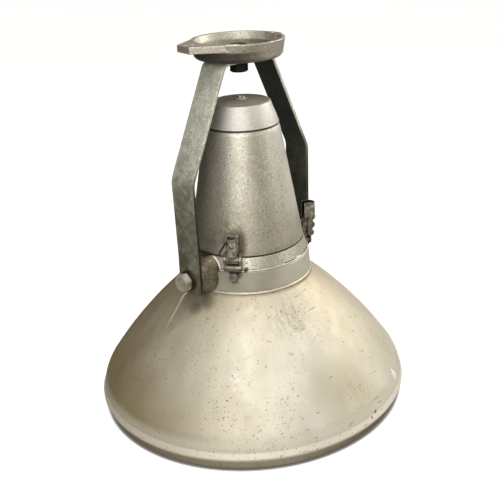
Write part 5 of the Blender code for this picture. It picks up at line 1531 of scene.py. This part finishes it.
def build_floor():
    """Pale to the camera, clear from below, with a painted contact shadow round the rim; under the glass a
    glowing soft pattern, painted light that the mirror picks up.
    """
    t = Tree("pale_floor")
    cloud = t.noise(0.6, 3)
    tone = t.mix(t.range(cloud, 0.3, 0.7), (0.93, 0.93, 0.925), (0.95, 0.95, 0.945))
    x, y, z = t.split()
    away = t.vector("LENGTH", t.join(x, y, 0.0))
    # painted contact shadow: the floor's glow fades to dark round the rim
    touch = t.range(away, 0.2280, 0.2335, 0.05, 1.0, smooth=True)
    t.finish((0.24, 0.23, 0.21), 0.9, 0.0)
    made, link = t.material, t.tree.links.new

    def glow(colour, strength):
        light = t.node("ShaderNodeEmission")
        t.feed(light.inputs["Color"], colour)
        t.feed(light.inputs["Strength"], strength)
        return light.outputs[0]

    def pick(share, first, second):
        blend = t.node("ShaderNodeMixShader")
        t.feed(blend.inputs[0], share)
        link(first, blend.inputs[1])
        link(second, blend.inputs[2])
        return blend.outputs[0]

    both = t.node("ShaderNodeAddShader")
    link(t.shader.outputs[0], both.inputs[0])
    link(glow(tone, touch), both.inputs[1])
    path = t.node("ShaderNodeLightPath")
    seen = pick(path.outputs["Is Camera Ray"], t.shader.outputs[0], both.outputs[0])
    # painted light: a glowing streaked patch under the glass, for the mirror and glass to reflect
    streaks = t.range(t.noise(4.2, 2, 0.4, distort=1.1), 0.46, 0.60, smooth=True)
    scene_below = t.mix(streaks, (0.03, 0.06, 0.065), (0.95, 1.0, 0.99))
    seen = pick(t.range(away, 0.221, 0.219), seen, glow(scene_below, 1.0))
    clear = t.node("ShaderNodeBsdfTransparent").outputs[0]
    seen = pick(t.node("ShaderNodeNewGeometry").outputs["Backfacing"], seen, clear)
    output = [node for node in t.tree.nodes if node.type == "OUTPUT_MATERIAL"][0]
    link(seen, output.inputs[0])
    bm = bmesh.new()
    rings = []
    for r, z in ((0.0, 0.0), (2.5, 0.0), (5.0, 0.0), (9.0, 0.0), (16.0, 0.0), (40.0, 0.0)):
        if r == 0:
            rings.append([bm.verts.new((0, 0, z - 0.0006))] * 96)
        else:
            rings.append([bm.verts.new((r * math.cos(a), r * math.sin(a), z - 0.0006))
                          for a in (2 * math.pi * k / 96 for k in range(96))])
    for low, high in zip(rings, rings[1:]):
        for k in range(96):
            after = (k + 1) % 96
            corners = [high[k], high[after], low[after], low[k]]
            bm.faces.new([v for n, v in enumerate(corners) if v not in corners[:n]])
    mesh = bpy.data.meshes.new("floor")
    bm.to_mesh(mesh)
    bm.free()
    floor = bpy.data.objects.new("floor", mesh)
    bpy.context.scene.collection.objects.link(floor)
    mesh.materials.append(made)


def build_world():
    """Pale where the camera looks at it; where the metal mirrors it, a dim room darker on the left."""
    world = bpy.data.worlds.new("studio")
    bpy.context.scene.world = world
    world.use_nodes = True
    nodes, links = world.node_tree.nodes, world.node_tree.links
    nodes.clear()
    output = nodes.new("ShaderNodeOutputWorld")
    blend = nodes.new("ShaderNodeMixShader")
    seen = nodes.new("ShaderNodeBackground")
    seen.inputs[0].default_value = (1, 1, 1, 1)
    seen.inputs[1].default_value = 0.98
    lit = nodes.new("ShaderNodeBackground")
    place = nodes.new("ShaderNodeTexCoord")
    side = nodes.new("ShaderNodeVectorMath")
    side.operation = "DOT_PRODUCT"
    side.inputs[1].default_value = tuple(RIGHT)
    links.new(place.outputs["Generated"], side.inputs[0])
    share = nodes.new("ShaderNodeMapRange")
    share.inputs["From Min"].default_value = -0.7
    share.inputs["From Max"].default_value = 0.5
    links.new(side.outputs["Value"], share.inputs["Value"])
    grade = nodes.new("ShaderNodeMix")
    grade.data_type = "RGBA"
    grade.inputs[6].default_value = (0.055, 0.042, 0.024, 1)
    grade.inputs[7].default_value = (0.30, 0.287, 0.25, 1)
    links.new(share.outputs[0], grade.inputs["Factor"])
    links.new(grade.outputs[2], lit.inputs[0])
    path = nodes.new("ShaderNodeLightPath")
    links.new(path.outputs["Is Camera Ray"], blend.inputs[0])
    links.new(lit.outputs[0], blend.inputs[1])
    links.new(seen.outputs[0], blend.inputs[2])
    links.new(blend.outputs[0], output.inputs[0])


def build_lights():
    softbox("key", -10, 22, 1.8, 1.2, 1.2, 17, (1.0, 0.98, 0.945))
    softbox("overhead", 0, 66, 1.9, 1.3, 0.9, 21, (1.0, 0.98, 0.945))
    softbox("right_band", 112, 30, 2.0, 1.3, 1.1, 24, (1.0, 0.98, 0.945))
    softbox("right_side", 78, 10, 2.2, 0.6, 1.0, 4.5, (1.0, 0.98, 0.945))
    softbox("left_arm", -75, 34, 2.4, 0.6, 0.6, 3.0, (0.97, 1.0, 0.95))


def build_camera():
    """The eye of the picture; the lens is shifted, so that upright lines keep their lean."""
    data = bpy.data.cameras.new("camera")
    cam = bpy.data.objects.new("camera", data)
    bpy.context.scene.collection.objects.link(cam)
    dip, swing, roll = math.radians(12.17), math.radians(2.54), math.radians(2.22)
    ahead = Vector((math.sin(swing) * math.cos(dip), math.cos(swing) * math.cos(dip), -math.sin(dip)))
    ahead.rotate(Matrix.Rotation(HEADING, 3, "Z"))
    turn = ahead.to_track_quat("-Z", "Y").to_matrix().to_4x4() @ Matrix.Rotation(-roll, 4, "Z")
    cam.matrix_world = Matrix.Translation(EYE) @ turn
    data.sensor_width = 36.0
    data.lens = 56.135 * ENLARGE
    data.clip_end = 200.0
    for name, value in (("shift_x", -0.0494 * ENLARGE), ("shift_y", -0.2978 * ENLARGE)):
        driver = data.driver_add(name).driver
        driver.type = "SCRIPTED"
        variable = driver.variables.new()
        variable.name = "x"
        variable.targets[0].id = cam
        variable.targets[0].data_path = "location[0]"
        driver.expression = "%.5f * (abs(x - %.5f) < 0.001)" % (value, EYE.x)
    bpy.context.scene.camera = cam
    bpy.context.scene.view_settings.view_transform = "Standard"


def main():
    stuff = make_materials()
    build_reflector(stuff)
    build_glass(stuff)
    build_collar(stuff)
    build_ring(stuff)
    build_housing(stuff)
    build_cap(stuff)
    build_neck(stuff)
    build_funnel(stuff)
    build_lampholder(stuff)
    build_bracket(stuff)
    build_yoke(stuff)
    build_pivots(stuff)
    build_plate_bolt(stuff)
    build_plate(stuff)
    build_latches(stuff)
    build_floor()
    build_world()
    build_lights()
    build_camera()


main()
